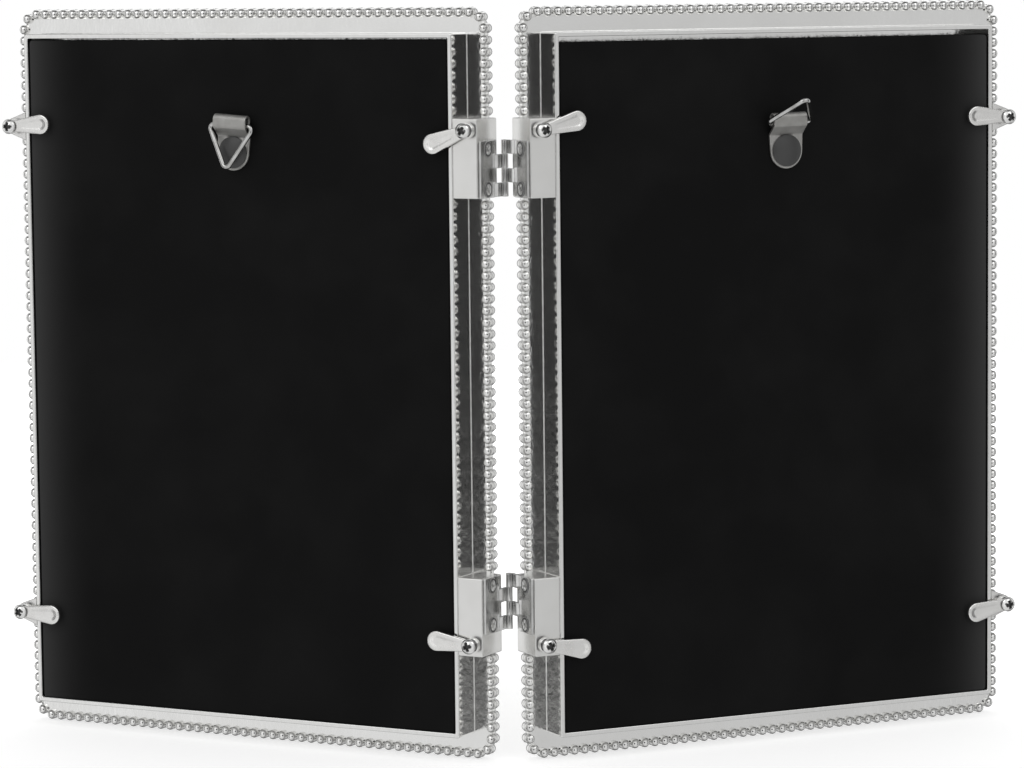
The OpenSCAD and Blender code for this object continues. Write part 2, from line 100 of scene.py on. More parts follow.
class PhotoFramePanelSizes(PropertyGroup):
    """Sizes of one panel: picture stack, tray, face plate and beads"""

    glass_w: length("Glass width", "Width of the glass", 127.0)
    glass_h: length("Glass height", "Height of the glass", 178.0)
    stack_t: length("Stack", "Thickness of glass, print, card and board", 8.2)
    board_t: length("Board", "Thickness of the back board", 3.0)
    glass_play: length("Play", "Gap between the glass and the tray", 1.0)
    lip_w: length("Lip", "How far the face plate covers the tray's inside", 4.0)
    tray_wall: length("Tray wall", "Thickness of the tray's wall", 1.2)
    board_drop: length("Board drop", "How far the board lies below the tray's rim", 0.3)
    face_t: length("Face plate", "Thickness of the face plate", 2.3)
    step_t: length("Step height", "Height of the step along the picture opening", 0.4)
    step_w: length("Step width", "Width of the step along the picture opening", 1.6)
    edge_margin: length("Margin", "Distance from the tray to the line of beads", 5.2)
    face_setback: length("Setback", "How far the plate's back lies in front of the beads' rear domes", 0.3)
    bead_r: length("Bead radius", "Radius of a bead", 1.35)
    bead_body: length("Bead body", "Straight length between a bead's domes", 1.6)
    beads_across: IntProperty(name="Spaces across", description="Bead spaces along the top", default=45)
    beads_up: IntProperty(name="Spaces up", description="Bead spaces up a side", default=61)
    bead_corner_r: length("Corner", "Radius of the bead line at the corners", 4.1)
    left_board_gap: length("Left board gap", "Gap above the board of the -X panel", 1.4)
    right_board_gap: length("Right board gap", "Gap above the board of the +X panel", 0.4)
    board_side_play: length("Board side play", "Gap at each side of a board", 0.3)
    open_angle: angle("Opening", "Angle between the two fronts", 126.6)


class PhotoFrameHardwareSizes(PropertyGroup):
    """Sizes of the brackets, hinges, turn buttons and hangers"""

    bracket_reach: length("Bracket reach", "How far a bracket reaches past the line of beads", 2.0)
    bracket_h: length("Bracket height", "Height of a hinge bracket", 20.4)
    bracket_inset: length("Bracket inset", "Distance from the bead line to a bracket", 27.0)
    hinge_h: length("Hinge height", "Height of a hinge", 14.7)
    leaf_t: length("Leaf", "Thickness of a hinge leaf", 0.7)
    pin_reach: length("Pin reach", "Distance from the brackets' side out to the pin's axis", 1.2)
    knuckle_r: length("Knuckle", "Radius of a hinge knuckle", 0.9)
    pin_forward: length("Pin forward", "Distance from the bead domes forward to the pin", 4.6)
    leaf_rear_inset: length("Leaf inset", "How far a leaf stays short of the bracket's rear face", 0.7)
    leaf_notch: length("Leaf notch", "Distance from the pin back to the leaf's front edge", 4.5)
    hinge_screw_spacing: length("Hinge screws", "Distance between a leaf's screws", 10.3)
    hinge_screw_inset: length("Hinge screw inset", "Distance from a leaf's rear edge to its screws", 3.7)
    hinge_head_r: length("Hinge screw head", "Radius of a hinge screw's head", 2.1)
    hinge_head_proud: length("Hinge screw dome", "How far a hinge screw stands proud", 0.25)
    screw_r: length("Shank", "Radius of the screws' shanks", 0.9)
    button_inset: length("Button inset", "Distance from the bead line to a button's pivot", 30.0)
    button_out_spine: length("Hinge side pivots", "Distance from the tray to a pivot on the hinge side", 4.3)
    button_out_free: length("Free side pivots", "Distance from the tray to a pivot on the free side", 3.8)
    button_len: length("Button length", "Distance from the pivot to the middle of the wide end", 9.8)
    button_tip_r: length("Button tip", "Radius of the wide end", 2.65)
    button_hub_r: length("Button hub", "Radius of the narrow end", 1.4)
    button_t: length("Button thickness", "Thickness of a turn button", 1.1)
    spacer_t: length("Washers", "Height of the washers under a button", 0.9)
    spacer_r: length("Washer radius", "Radius of the washers", 1.9)
    head_r: length("Button screw head", "Radius of a button screw's head", 2.0)
    head_t: length("Button screw height", "Height of a button screw's head", 1.6)
    ear_t: length("Ear", "Depth of an ear on the free side", 3.0)
    ear_root_r: length("Ear root", "Half the width of an ear at the tray", 3.6)
    ear_tip_r: length("Ear tip", "Radius of an ear round its screw", 2.3)
    left_rivet_drop: length("Left rivet drop", "From the top of the -X tray down to its rivet", 32.0)
    right_rivet_drop: length("Right rivet drop", "From the top of the +X tray down to its rivet", 31.1)
    left_rivet_off: place("Left rivet offset", "Rivet outwards from the middle of the -X board", 1.7)
    right_rivet_off: place("Right rivet offset", "Rivet outwards from the middle of the +X board", -0.3)
    cap_r: length("Rivet cap", "Radius of the rivet's cap", 4.2)
    cap_t: length("Rivet cap height", "Height of the rivet's cap", 1.3)
    strap_t: length("Strap", "Thickness of the strap", 0.7)
    strap_end_r: length("Strap end", "Radius of the strap's round end", 4.75)
    strap_w: length("Strap width", "Width of the strap at its loop", 9.9)
    strap_len: length("Strap length", "Distance from the rivet to the loop's upper bend", 8.6)
    loop_drop: length("Loop drop", "How far below the loop's upper bend the ring hangs", 1.3)
    loop_out: length("Loop stand-off", "How far the loop is bent away from the board", 0.7)
    wire_r: length("Ring wire", "Radius of the ring's wire", 0.65)
    ring_side: length("Ring side", "Side of the ring before its corners are rounded", 14.2)
    ring_bend_r: length("Ring bend", "Radius of the ring's corners", 1.2)
    left_strap_turn: angle("Left strap turn", "Turn of the -X strap on its rivet", -1.5)
    right_strap_turn: angle("Right strap turn", "Turn of the +X strap on its rivet", -4.0)
    left_ring_swing: angle("Left ring swing", "Swing of the -X ring from straight down", 123.0)
    right_ring_swing: angle("Right ring swing", "Swing of the +X ring from straight down", 9.0)


class PhotoFrameFinishes(PropertyGroup):
    """Colours of the finishes"""

    satin: tint("Satin plate", "Colour of the plate on the face plates and brackets", 0.93, 0.93, 0.92)
    satin_shade: tint("Satin shade", "Colour of the satin plate in duller patches", 0.82, 0.815, 0.80)
    silver: tint("Silver plate", "Colour of the polished silver plate", 0.90, 0.90, 0.89)
    silver_shade: tint("Silver shade", "Colour of the polished plate in duller patches", 0.76, 0.75, 0.73)
    # Painted shade: the dark colour painted on the beads' rings and in the washers' grooves, in place of
    # reflection and shade
    painted_dark: tint("Shade paint", "Colour of tarnish on the beads and between the washers", 0.13, 0.128, 0.125)
    tumbled: tint("Tumbled plate", "Colour of the turn buttons", 0.90, 0.895, 0.88)
    nickel: tint("Nickel plate", "Colour of the hinges and screws", 0.74, 0.74, 0.735)
    nickel_shade: tint("Nickel shade", "Darker colour of the nickel plate", 0.56, 0.56, 0.55)
    strap: tint("Hanger", "Colour of the hangers' nickel", 0.50, 0.495, 0.48)
    strap_shade: tint("Hanger shade", "Darker colour of the hangers' nickel", 0.40, 0.395, 0.38)
    wire: tint("Ring wire", "Colour of the rings' wire", 0.60, 0.60, 0.595)
    board: tint("Board", "Colour of the board's black covering", 0.0035, 0.0035, 0.0036)
    board_worn: tint("Worn board", "Colour of the board where it is rubbed", 0.0075, 0.0075, 0.0075)
    # Painted glare: a lighter colour painted along the boards' free sides in place of glare from the white
    # surroundings
    board_edge_glare: tint("Board rim", "Colour of the board's glaring outer edge", 0.04, 0.04, 0.04)
    enamel: tint("Enamel", "Colour of the rivet's enamel", 0.045, 0.045, 0.045)
    card: tint("Card", "Colour of the card", 0.52, 0.47, 0.40)
    paper: tint("Print paper", "Colour of the blank print", 0.88, 0.87, 0.84)
    glass: tint("Glass", "Colour of what the glass mirrors", 0.96, 0.985, 0.975)
    floor: tint("Floor", "Colour of the floor", 0.90, 0.90, 0.90)
    floor_shade: tint("Floor shade", "Colour of the floor in darker patches", 0.86, 0.86, 0.86)


class PhotoFrameStudio(PropertyGroup):
    """Camera and light of the studio"""

    camera_x: place("Camera X", "Place of the camera across", -19.412)
    camera_y: place("Camera Y", "Distance of the camera behind the frame", 1047.462)
    camera_z: place("Camera Z", "Height of the camera", 203.174)
    camera_pitch: angle("Pitch", "How far the camera looks down", 5.865)
    camera_yaw: angle("Yaw", "How far the camera is turned towards +X", 1.017)
    camera_roll: angle("Roll", "How far the camera is rolled", -0.6)
    camera_lens: FloatProperty(name="Lens", description="Focal length in millimetres", default=139.516)
    front_level: amount("Front", "Brightness of the room's front half in the metal", 0.42)
    low_level: amount("Low", "Brightness of the room's lower half in the metal", 0.8)
    band_depth: amount("Band depth", "How dark metal sees the band beside the frame", 0.8)
    sky_level: amount("Sky", "Strength of the surroundings on matte surfaces", 0.72)
    floor_glow: amount("Floor glow", "Share of white in the seen floor under the frame", 0.3)
    glow_strength: amount("Glow strength", "Strength of the white in the seen floor", 1.9)
    lamp_power: FloatProperty(name="Lamps", description="Power of each soft lamp", default=2.2,
                              subtype="POWER")


def panel_sizes():
    return bpy.context.scene.photo_frame_panel


def hardware_sizes():
    return bpy.context.scene.photo_frame_hardware


def finishes():
    return bpy.context.scene.photo_frame_finishes


def levels():
    """Lines and levels of a panel that follow from its sizes."""
    p, h = panel_sizes(), hardware_sizes()
    m = SimpleNamespace()
    m.tray_in_w = p.glass_w + 2 * p.glass_play
    m.tray_in_h = p.glass_h + 2 * p.glass_play
    m.tray_w = m.tray_in_w + 2 * p.tray_wall
    m.tray_h = m.tray_in_h + 2 * p.tray_wall
    m.line_w = m.tray_w + 2 * p.edge_margin
    m.line_h = m.tray_h + 2 * p.edge_margin
    m.inner = p.edge_margin + p.tray_wall
    m.face_back = -p.face_setback
    m.face_front = m.face_back - p.face_t
    m.board_back = m.face_back + p.stack_t
    m.board_front = m.board_back - p.board_t
    m.rim = m.board_back + p.board_drop
    m.tilt = (math.pi - p.open_angle) / 2
    m.pin_side = h.bracket_reach + h.pin_reach
    m.bracket_zs = (h.bracket_inset, m.line_h - h.bracket_inset - h.bracket_h)
    m.hinge_low = h.bracket_inset + h.bracket_h - h.hinge_h
    m.leaf_rear = m.rim - h.leaf_rear_inset
    m.leaf_front = -h.pin_forward + h.leaf_notch
    m.leaf_x = -h.bracket_reach - h.leaf_t
    m.spine_pivot_x = p.edge_margin - h.button_out_spine
    m.free_pivot_x = p.edge_margin + m.tray_w + h.button_out_free
    m.button_zs = (h.button_inset, m.line_h - h.button_inset)
    # Play between parts that lie on each other, and round the ring's wire
    m.play, m.wire_play = 0.00005, 0.00008
    m.button_y = m.rim + h.spacer_t + m.play
    m.head_y = m.button_y + h.button_t + m.play
    m.loop_r = h.wire_r + m.wire_play + h.strap_t
    m.strap_y = m.board_back + m.play
    m.loop_y = m.strap_y + m.loop_r + h.loop_out
    m.ring_z = h.strap_len - h.loop_drop
    m.cap_y = m.strap_y + h.strap_t + m.play
    m.bend_z = h.cap_r + m.play
    m.head_rim = 0.0005
    dome = h.head_t - m.head_rim
    m.head_dome_r = (h.head_r ** 2 + dome ** 2) / (2 * dome)
    c, s = math.cos(m.tilt), math.sin(m.tilt)
    dome_centre_y = m.head_y + h.head_t - m.head_dome_r
    rear = (dome_centre_y + h.pin_forward) * c - (m.spine_pivot_x + m.pin_side) * s + m.head_dome_r
    front = (h.pin_forward - p.bead_body) * c - (m.line_w + m.pin_side) * s - p.bead_r
    m.hinge_y = -(rear + front) / 2
    return m


def rivet_place(side):
    """The rivet of one side as (x, z) in the panel's axes."""
    h, m = hardware_sizes(), levels()
    off = h.left_rivet_off if side == "left" else h.right_rivet_off
    drop = h.left_rivet_drop if side == "left" else h.right_rivet_drop
    return m.line_w / 2 + off, m.line_h - panel_sizes().edge_margin - drop


def stand(points, side):
    """Panel axes to the model's frame: moved to the hinge, turned by the tilt, mirrored for the -X side."""
    p, h, m = panel_sizes(), hardware_sizes(), levels()
    x, y = points[..., 0] + m.pin_side, points[..., 1] + h.pin_forward
    c, s = math.cos(m.tilt), math.sin(m.tilt)
    across = x * c + y * s
    if side == "left":
        across = -across
    return np.stack([across, y * c - x * s + m.hinge_y, points[..., 2] + p.bead_r], -1)


def about(points, axis, turn):
    """Points turned about the x or y axis: the two other coordinates by cosine and sine."""
    a, b = {"x": (1, 2), "y": (2, 0)}[axis]
    c, s = math.cos(turn), math.sin(turn)
    out = np.array(points, dtype=float)
    out[..., a] = points[..., a] * c - points[..., b] * s
    out[..., b] = points[..., a] * s + points[..., b] * c
    return out


class Shell:
    """Points and faces of one piece. A grid's faces point outwards when its rings run counter-clockwise
    in x and z and follow each other towards +y."""

    def __init__(self):
        # The last list holds, for each point, how dark shade is painted into its colour
        self.points, self.faces, self.count, self.grime = [], [], 0, []

    def grid(self, points, wrap_rows=False, front_cap=False, back_cap=False, grime=None):
        """Quads between the neighbours of a grid of points whose rows close, and caps on the end rings."""
        rows, cols = points.shape[:2]
        index = self.count + np.arange(rows * cols).reshape(rows, cols)
        near, far = (index, np.roll(index, -1, 0)) if wrap_rows else (index[:-1], index[1:])
        quads = (near, far, np.roll(far, -1, 1), np.roll(near, -1, 1))
        self.faces += np.stack(quads, -1).reshape(-1, 4).tolist()
        if front_cap:
            self.faces.append(index[0].tolist())
        if back_cap:
            self.faces.append(index[-1][::-1].tolist())
        self.points.append(points.reshape(-1, 3))
        self.grime.append(np.zeros(rows * cols) if grime is None else grime.ravel())
        self.count += rows * cols
        return self

    def add(self, other, move=None):
        """Another shell's points, changed by a function, and its faces."""
        points = np.concatenate(other.points)
        self.points.append(points if move is None else move(points))
        self.grime += other.grime
        self.faces += [[i + self.count for i in face] for face in other.faces]
        self.count += len(points)
        return self

    def repeat(self, other, places):
        """The other shell once at each place, by adding every place to every point."""
        points = np.concatenate(other.points)
        spread = (points[None] + places[:, None]).reshape(-1, 3)
        for i in range(len(places)):
            start = self.count + i * len(points)
            self.faces += [[j + start for j in face] for face in other.faces]
        self.points.append(spread)
        self.grime += other.grime * len(places)
        self.count += len(spread)
        return self


def welded(name, points, faces, grime=None):
    """A mesh whose points are joined where they fall together, with the painted shade as a point attribute:
    how dark each point is painted in place of shade.
    """
    mesh = bpy.data.meshes.new(name)
    mesh.from_pydata(points.tolist(), [], faces)
    if grime is not None and grime.any():
        mesh.attributes.new("grime", "FLOAT", "POINT").data.foreach_set("value", grime)
    bm = bmesh.new()
    bm.from_mesh(mesh)
    bmesh.ops.remove_doubles(bm, verts=bm.verts, dist=WELD)
    bm.to_mesh(mesh)
    bm.free()
    return mesh


def placed(name, data):
    """A new object in the scene, at the origin."""
    piece = bpy.data.objects.new(name, data)
    bpy.context.scene.collection.objects.link(piece)
    return piece


def finish_piece(side, name, shell, body, material, nodes, sharp=40, even=True):
    """Makes one side's object of a shell drawn in panel axes, and ties it to its body, slot and nodes. Edges
    over so many degrees stay sharp, and even shading lets large faces lead the normals."""
    faces = [f[::-1] for f in shell.faces] if side == "left" else shell.faces
    points = stand(np.concatenate(shell.points), side)
    mesh = welded(f"{side}_{name}", points, faces, np.concatenate(shell.grime))
    mesh.shade_smooth()
    mesh.set_sharp_from_angle(angle=math.radians(sharp))
    piece = placed(f"{side}_{name}", mesh)
    piece.data.materials.append(material)
    if even:
        weigh = piece.modifiers.new("Even shading", "WEIGHTED_NORMAL")
        weigh.keep_sharp = True
    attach(piece, f"{side}_{body}")
    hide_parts(*(f"{side}_{node}" for node in nodes))


def repaint(node, material):
    """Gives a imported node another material."""
    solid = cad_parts[node]
    if not solid.material_slots:
        solid.data.materials.append(material)
    for slot in solid.material_slots:
        slot.material = material


# Outlines and sections


def arc(centre, radius, angles):
    """Points on a circle in x and z: the centre plus radius times cosine and sine of each angle."""
    return np.stack([centre[0] + radius * np.cos(angles), centre[1] + radius * np.sin(angles)], -1)


def corner_arcs(x0, z0, x1, z1, radius, steps):
    """A rounded rectangle, counter-clockwise from its lower left corner: four quarter circles in a row."""
    centres = ((x0 + radius, z0 + radius), (x1 - radius, z0 + radius),
               (x1 - radius, z1 - radius), (x0 + radius, z1 - radius))
    return np.concatenate([arc(centre, radius, angles) for centre, angles in zip(centres, quarters(steps))])


def quarters(steps):
    """The angles of a rounded rectangle's four corners, counter-clockwise from the lower left one."""
    turn = np.linspace(0, math.pi / 2, steps + 1)
    return [turn + start for start in (math.pi, 1.5 * math.pi, 0.0, 0.5 * math.pi)]


def tapered_outline(r0, r1, reach, inset, steps=24):
    """Two circles a reach apart on x and their common tangents, all moved inwards by the inset."""
    lean = math.acos((r0 - r1) / reach)
    tip = np.linspace(-lean, lean, steps + 1)
    hub = np.linspace(lean, 2 * math.pi - lean, steps + 1)
    return np.concatenate([arc((reach, 0.0), r1 - inset, tip), arc((0.0, 0.0), r0 - inset, hub)])


def rounding(radius, steps=4):
    """(inset, depth) of a quarter round edge: radius times one minus sine, and one minus cosine."""
    a = np.linspace(0, math.pi / 2, steps + 1)
    return np.stack([radius * (1 - np.sin(a)), radius * (1 - np.cos(a))], -1)


def at_level(outline, level):
    """An outline in x and z as points at one level of y."""
    return np.stack([outline[:, 0], np.full(len(outline), level), outline[:, 1]], -1)


def rounded_rings(outline, front, back, front_edge, back_edge):
    """Rings of an outline between two levels, inset and deepened by quarter rounds at both."""
    rings = [at_level(outline(i), front + d) for i, d in rounding(front_edge)]
    return rings + [at_level(outline(i), back - d) for i, d in rounding(back_edge)[::-1]]


def plate(outline, front, back, front_edge, back_edge):
    """A closed plate with rounded edges."""
    rings = rounded_rings(outline, front, back, front_edge, back_edge)
    return Shell().grid(np.stack(rings), front_cap=True, back_cap=True)


def turned(profile, around, grime=None):
    """A body turned about y: every (radius, level) of the profile carried round a circle, with its painted
    shade.
    """
    a = np.linspace(0, 2 * math.pi, around, endpoint=False)
    radius, level = np.asarray(profile).T
    x, z = radius[:, None] * np.cos(a), radius[:, None] * np.sin(a)
    points = np.stack([x, np.broadcast_to(level[:, None], x.shape), z], -1)
    return Shell().grid(points, grime=None if grime is None else np.repeat(grime, around))


def carried(path, outward, section):
    """A section of (inset, level) points carried along a path in x and z, inset against outward normals."""
    inset, level = np.asarray(section).T
    x = path[:, 0, None] - inset * outward[:, 0, None]
    z = path[:, 1, None] - inset * outward[:, 1, None]
    return Shell().grid(np.stack([x, np.broadcast_to(level, x.shape), z], -1), front_cap=True, back_cap=True)


# Finishes


class Socket:
    """An output of a recipe's node that takes part in Python expressions: each operator adds a Math node."""

    def __init__(self, recipe, output):
        self.recipe, self.output = recipe, output

    def __add__(self, other):
        return self.recipe.maths("ADD", self, other)

    def __rsub__(self, other):
        return self.recipe.maths("SUBTRACT", other, self)

    def __mul__(self, other):
        return self.recipe.maths("MULTIPLY", self, other)

    def __pow__(self, other):
        return self.recipe.maths("POWER", self, other)

    __radd__, __rmul__ = __add__, __mul__


class Recipe:
    """The nodes of one material or of the world."""

    def __init__(self, tree):
        self.tree = tree
        tree.nodes.clear()

    def node(self, kind, settings=None, inputs=None):
        """One node: its settings first, then the values or links of its sockets."""
        made = self.tree.nodes.new(kind)
        for key, value in (settings or {}).items():
            setattr(made, key, value)
        for key, value in (inputs or {}).items():
            if isinstance(value, Socket):
                self.tree.links.new(value.output, made.inputs[key])
            else:
                made.inputs[key].default_value = value
        return made

    def out(self, kind, output, settings=None, inputs=None):
        """One output of a new node."""
        return Socket(self, self.node(kind, settings, inputs).outputs[output])

    def outs(self, kind, names, inputs=None):
        """Several named outputs of one new node."""
        made = self.node(kind, None, inputs)
        return [Socket(self, made.outputs[name]) for name in names]

    def maths(self, operation, *values):
        """A Math node's result."""
        return self.out("ShaderNodeMath", 0, {"operation": operation}, dict(enumerate(values)))

    def held(self, value):
        """A value held between 0 and 1."""
        return self.out("ShaderNodeMath", 0, {"operation": "ADD", "use_clamp": True}, {0: value, 1: 0.0})

    def size(self, value):
        """A value without its sign."""
        return self.maths("ABSOLUTE", value)

    def greatest(self, first, *others):
        """The greatest of some values."""
        for other in others:
            first = self.maths("MAXIMUM", first, other)
        return first

    def blend(self, factor, first, second):
        """A colour between two colours."""
        colours = {6: first if isinstance(first, Socket) else (*first, 1.0),
                   7: second if isinstance(second, Socket) else (*second, 1.0)}
        return self.out("ShaderNodeMix", 2, {"data_type": "RGBA"}, {0: factor, **colours})

    def coordinates(self, upright=1.0, turn=0.0):
        """Object coordinates turned about z, and drawn out along z where upright is below 1."""
        own = self.out("ShaderNodeTexCoord", "Object")
        about_z = self.out("ShaderNodeMapping", "Vector", None, {"Vector": own, "Rotation": (0.0, 0.0, turn)})
        return self.out("ShaderNodeVectorMath", "Vector", {"operation": "MULTIPLY"},
                        {0: about_z, 1: (1.0, 1.0, upright)})

    def noise(self, scale, detail=3.0, rough=0.5, upright=1.0, turn=0.0):
        """Noise from 0 to 1 at so many lumps a metre."""
        return self.out("ShaderNodeTexNoise", 0, None,
                        {"Vector": self.coordinates(upright, turn), "Scale": scale, "Detail": detail,
                         "Roughness": rough})

    def spread(self, value, low, high):
        """A value stretched so that low becomes 0 and high becomes 1, and held between them."""
        return self.out("ShaderNodeMapRange", "Result", None,
                        {"Value": value, "From Min": low, "From Max": high, "To Min": 0.0, "To Max": 1.0})

    def grime(self):
        """The mesh's painted shade attribute: how dark a point is painted in place of shade."""
        return self.out("ShaderNodeAttribute", "Fac", {"attribute_name": "grime"})

    def rays(self):
        """Whether a ray comes from the camera, through glass or off something glossy."""
        return self.outs("ShaderNodeLightPath", ("Is Camera Ray", "Is Transmission Ray", "Is Glossy Ray"))

    def relief(self, height, depth):
        """A normal from a height map of a depth in metres."""
        return self.out("ShaderNodeBump", "Normal", None,
                        {"Strength": 1.0, "Distance": depth, "Height": height})

    def surface(self, **inputs):
        """The Principled shader, joined to the output."""
        shader = self.out("ShaderNodeBsdfPrincipled", 0, None,
                          {key.replace("_", " "): value for key, value in inputs.items()})
        self.node("ShaderNodeOutputMaterial", None, {"Surface": shader})

    def metal(self, colour, roughness, **inputs):
        """The Principled shader as bare metal."""
        self.surface(Base_Color=colour, Metallic=1.0, Roughness=roughness, **inputs)


def finish(title):
    """Turns a function that fills a recipe into one that gives its material, made on first use."""
    def wrap(fill):
        @wraps(fill)
        def material_once():
            material = bpy.data.materials.get(title)
            if material is None:
                material = bpy.data.materials.new(title)
                material.use_nodes = True
                fill(Recipe(material.node_tree), finishes())
            return material
        return material_once
    return wrap


@finish("Satin silver plate")
def satin_silver(r, f):
    """Face plates: satin silver plate with faint grain, soft clouds and a little tarnish."""
    grain, cloud = r.noise(1100.0, 3.0, 0.6, upright=0.45), r.noise(55.0, 4.0, 0.55)
    r.metal(r.blend(r.spread(cloud, 0.35, 0.8) * 0.6, f.satin, f.satin_shade),
            0.07 + grain * 0.08 + cloud * 0.05, Normal=r.relief(cloud + grain * 0.5, 0.0001))


@finish("Bright silver plate")
def bright_silver(r, f):
    """Beads and washers: mirror plate, a little duller in soft patches, with painted shade: a dark colour
    laid where the painted shade attribute is set, in place of dark reflections on the beads and shade in the
    washers' grooves.
    """
    cloud, shade_mask = r.noise(240.0), r.grime()
    unshaded = r.blend(r.spread(cloud, 0.4, 0.8) * 0.3, f.silver, f.silver_shade)
    # Painted shade: the colour turns dark where the painted shade attribute is set
    r.metal(r.blend(shade_mask * (0.75 + cloud * 0.4), unshaded, f.painted_dark), 0.03 + cloud * 0.05 + shade_mask * 0.1)


@finish("Streaked silver plate")
def streaked_silver(r, f):
    """Trays: polished plate with upright polishing streaks."""
    streaks, cloud = r.noise(1000.0, 3.0, 0.6, upright=0.3), r.noise(90.0)
    r.metal(r.blend(r.spread(streaks, 0.35, 0.75) * 0.35, f.silver, f.silver_shade),
            0.03 + streaks * 0.07 + cloud * 0.04, Normal=r.relief(cloud + streaks * 0.3, 0.00008))


@finish("Cast silver plate")
def cast_silver(r, f):
    """Brackets and ears: plated castings, smooth but not polished, with faint upright brushing."""
    streaks, cloud = r.noise(1200.0, 3.0, 0.6, upright=0.05), r.noise(130.0)
    r.metal(r.blend(0.5 + r.spread(cloud, 0.3, 0.8) * 0.5, f.satin, f.satin_shade),
            0.2 + streaks * 0.02 + cloud * 0.08, Normal=r.relief(streaks, 0.0000015))


@finish("Tumbled silver plate")
def tumbled_silver(r, f):
    """Turn buttons: barrel-tumbled plate, bright with fine dents."""
    dents, cloud = r.noise(1500.0, 2.0), r.noise(420.0, 3.0, 0.6)
    r.metal(r.blend(r.spread(cloud, 0.4, 0.75) * 0.35, f.tumbled, f.silver_shade), 0.2 + cloud * 0.12,
            Normal=r.relief(dents, 0.00002))


@finish("Nickel plate")
def nickel_plate(r, f):
    """Hinge leaves and pins: nickel plate with faint scratches along its height."""
    scratches, cloud = r.noise(1600.0, 3.0, 0.6, upright=0.12), r.noise(260.0)
    r.metal(r.blend(r.spread(cloud, 0.35, 0.75), f.nickel, f.nickel_shade),
            0.07 + scratches * 0.06 + cloud * 0.05, Normal=r.relief(scratches, 0.000002))


@finish("Screw plate")
def screw_plate(r, f):
    """Screws: bright nickel, with painted shade in the cross, round the seat and on a countersunk head's rim:
    dark in the enamel's colour, and less metallic.
    """
    cloud, shade_mask = r.noise(700.0), r.grime()
    shade_amount = r.held(shade_mask * 1.6)
    bright = r.blend(r.spread(cloud, 0.35, 0.75) * 0.6, f.silver, f.nickel)
    # Painted shade: where the painted shade attribute is set, the colour turns to the enamel's dark and the
    # metal dulls
    r.surface(Base_Color=r.blend(shade_amount, bright, f.enamel), Metallic=1.0 - shade_amount * 0.9,
              Roughness=0.1 + cloud * 0.1 + shade_mask * 0.4)


@finish("Strap nickel")
def strap_nickel(r, f):
    """Straps: greyer nickel, satin all over, with fine scratches."""
    scratches, cloud = r.noise(1500.0, 3.0, 0.6, upright=0.2), r.noise(300.0)
    r.metal(r.blend(r.spread(cloud, 0.35, 0.75), f.strap, f.strap_shade),
            0.46 + scratches * 0.08 + cloud * 0.08, Normal=r.relief(scratches, 0.000003))


@finish("Wire nickel")
def wire_nickel(r, f):
    """Rings: drawn nickel wire, bright along the ridge."""
    cloud = r.noise(500.0)
    r.metal(r.blend(r.spread(cloud, 0.35, 0.75), f.wire, f.strap_shade), 0.06 + cloud * 0.1)


@finish("Black enamel")
def black_enamel(r, f):
    """Rivet caps: satin black enamel with slight orange peel."""
    peel = r.noise(1400.0, 2.0)
    r.surface(Base_Color=(*f.enamel, 1.0), Roughness=0.34 + peel * 0.12, Normal=r.relief(peel, 0.00001))


@finish("Black board covering")
def black_covering(r, f):
    """Boards: matte black paper with a fine tooth, faint rubbed blotches and specks, and a painted glare that
    lightens the free sides: a power of the share of the way across the last stretch."""
    tooth, blotch = r.noise(5200.0, 3.0, 0.6), r.noise(38.0, 5.0, 0.6)
    speck = r.spread(r.noise(900.0, 1.0), 0.72, 0.8)
    [across] = r.outs("ShaderNodeSeparateXYZ", "X", {0: r.coordinates()})
    # Painted glare: the colour lightens over the last stretch of each free side, in place of glare from the
    # white surroundings
    glare_start, glare_end = 0.1135, 0.1295
    rim = r.spread(r.size(across), glare_start, glare_end)
    worn = r.blend(r.held(r.spread(blotch, 0.4, 0.7) * 0.8 + speck * 0.3), f.board, f.board_worn)
    r.surface(Base_Color=r.blend(r.held(rim ** 2.6 + rim * 0.12), worn, f.board_edge_glare),
              Roughness=0.62 + blotch * 0.16, Specular_IOR_Level=0.1, Normal=r.relief(tooth, 0.00001))


@finish("Grey card")
def grey_card(r, f):
    """Card behind the print: pressed fibres in two tones."""
    fibres = r.noise(1800.0, 5.0, 0.7, upright=0.3)
    r.surface(Base_Color=r.blend(fibres, f.card, 0.7 * np.array(f.card)), Roughness=0.85,
              Normal=r.relief(fibres, 0.00003))


@finish("Blank print paper")
def print_paper(r, f):
    """Blank print: smooth warm white paper with a barely seen tooth."""
    tooth = r.noise(2400.0, 4.0, 0.6)
    r.surface(Base_Color=r.blend(tooth * 0.25, f.paper, 0.9 * np.array(f.paper)),
              Roughness=0.45 + tooth * 0.1, Normal=r.relief(tooth, 0.000006))


@finish("Clear glass")
def clear_glass(r, f):
    """Glass: a faint mirror that grows towards glancing angles, clear between, with traces of wiping."""
    smears = r.noise(60.0, 4.0, 0.6, upright=0.4, turn=0.4)
    glance = r.out("ShaderNodeFresnel", 0, None, {"IOR": 1.5})
    r.metal((*f.glass, 1.0), 0.02 + smears * 0.05, Alpha=r.held(glance * 1.7 + 0.02))


@finish("Pale floor")
def pale_floor(r, f):
    """Floor: a pale matte ground that takes the shadow, mixed for seen rays with a white glow that grows with
    the distance from the frame."""
    studio = bpy.context.scene.photo_frame_studio
    tone = r.blend(r.noise(30.0) * 0.1, f.floor, f.floor_shade)
    matte = r.out("ShaderNodeBsdfDiffuse", 0, None, {"Color": tone})
    glow = r.out("ShaderNodeEmission", 0, None, {"Color": WHITE, "Strength": studio.glow_strength})
    distance = r.out("ShaderNodeVectorMath", "Value", {"operation": "LENGTH"}, {0: r.coordinates()})
    share = studio.floor_glow + r.spread(distance, 0.15, 0.7) * (1.0 - studio.floor_glow)
    mixed = r.out("ShaderNodeMixShader", 0, None, {0: r.greatest(*r.rays()) * share, 1: matte, 2: glow})
    r.node("ShaderNodeOutputMaterial", None, {"Surface": mixed})


# Pieces


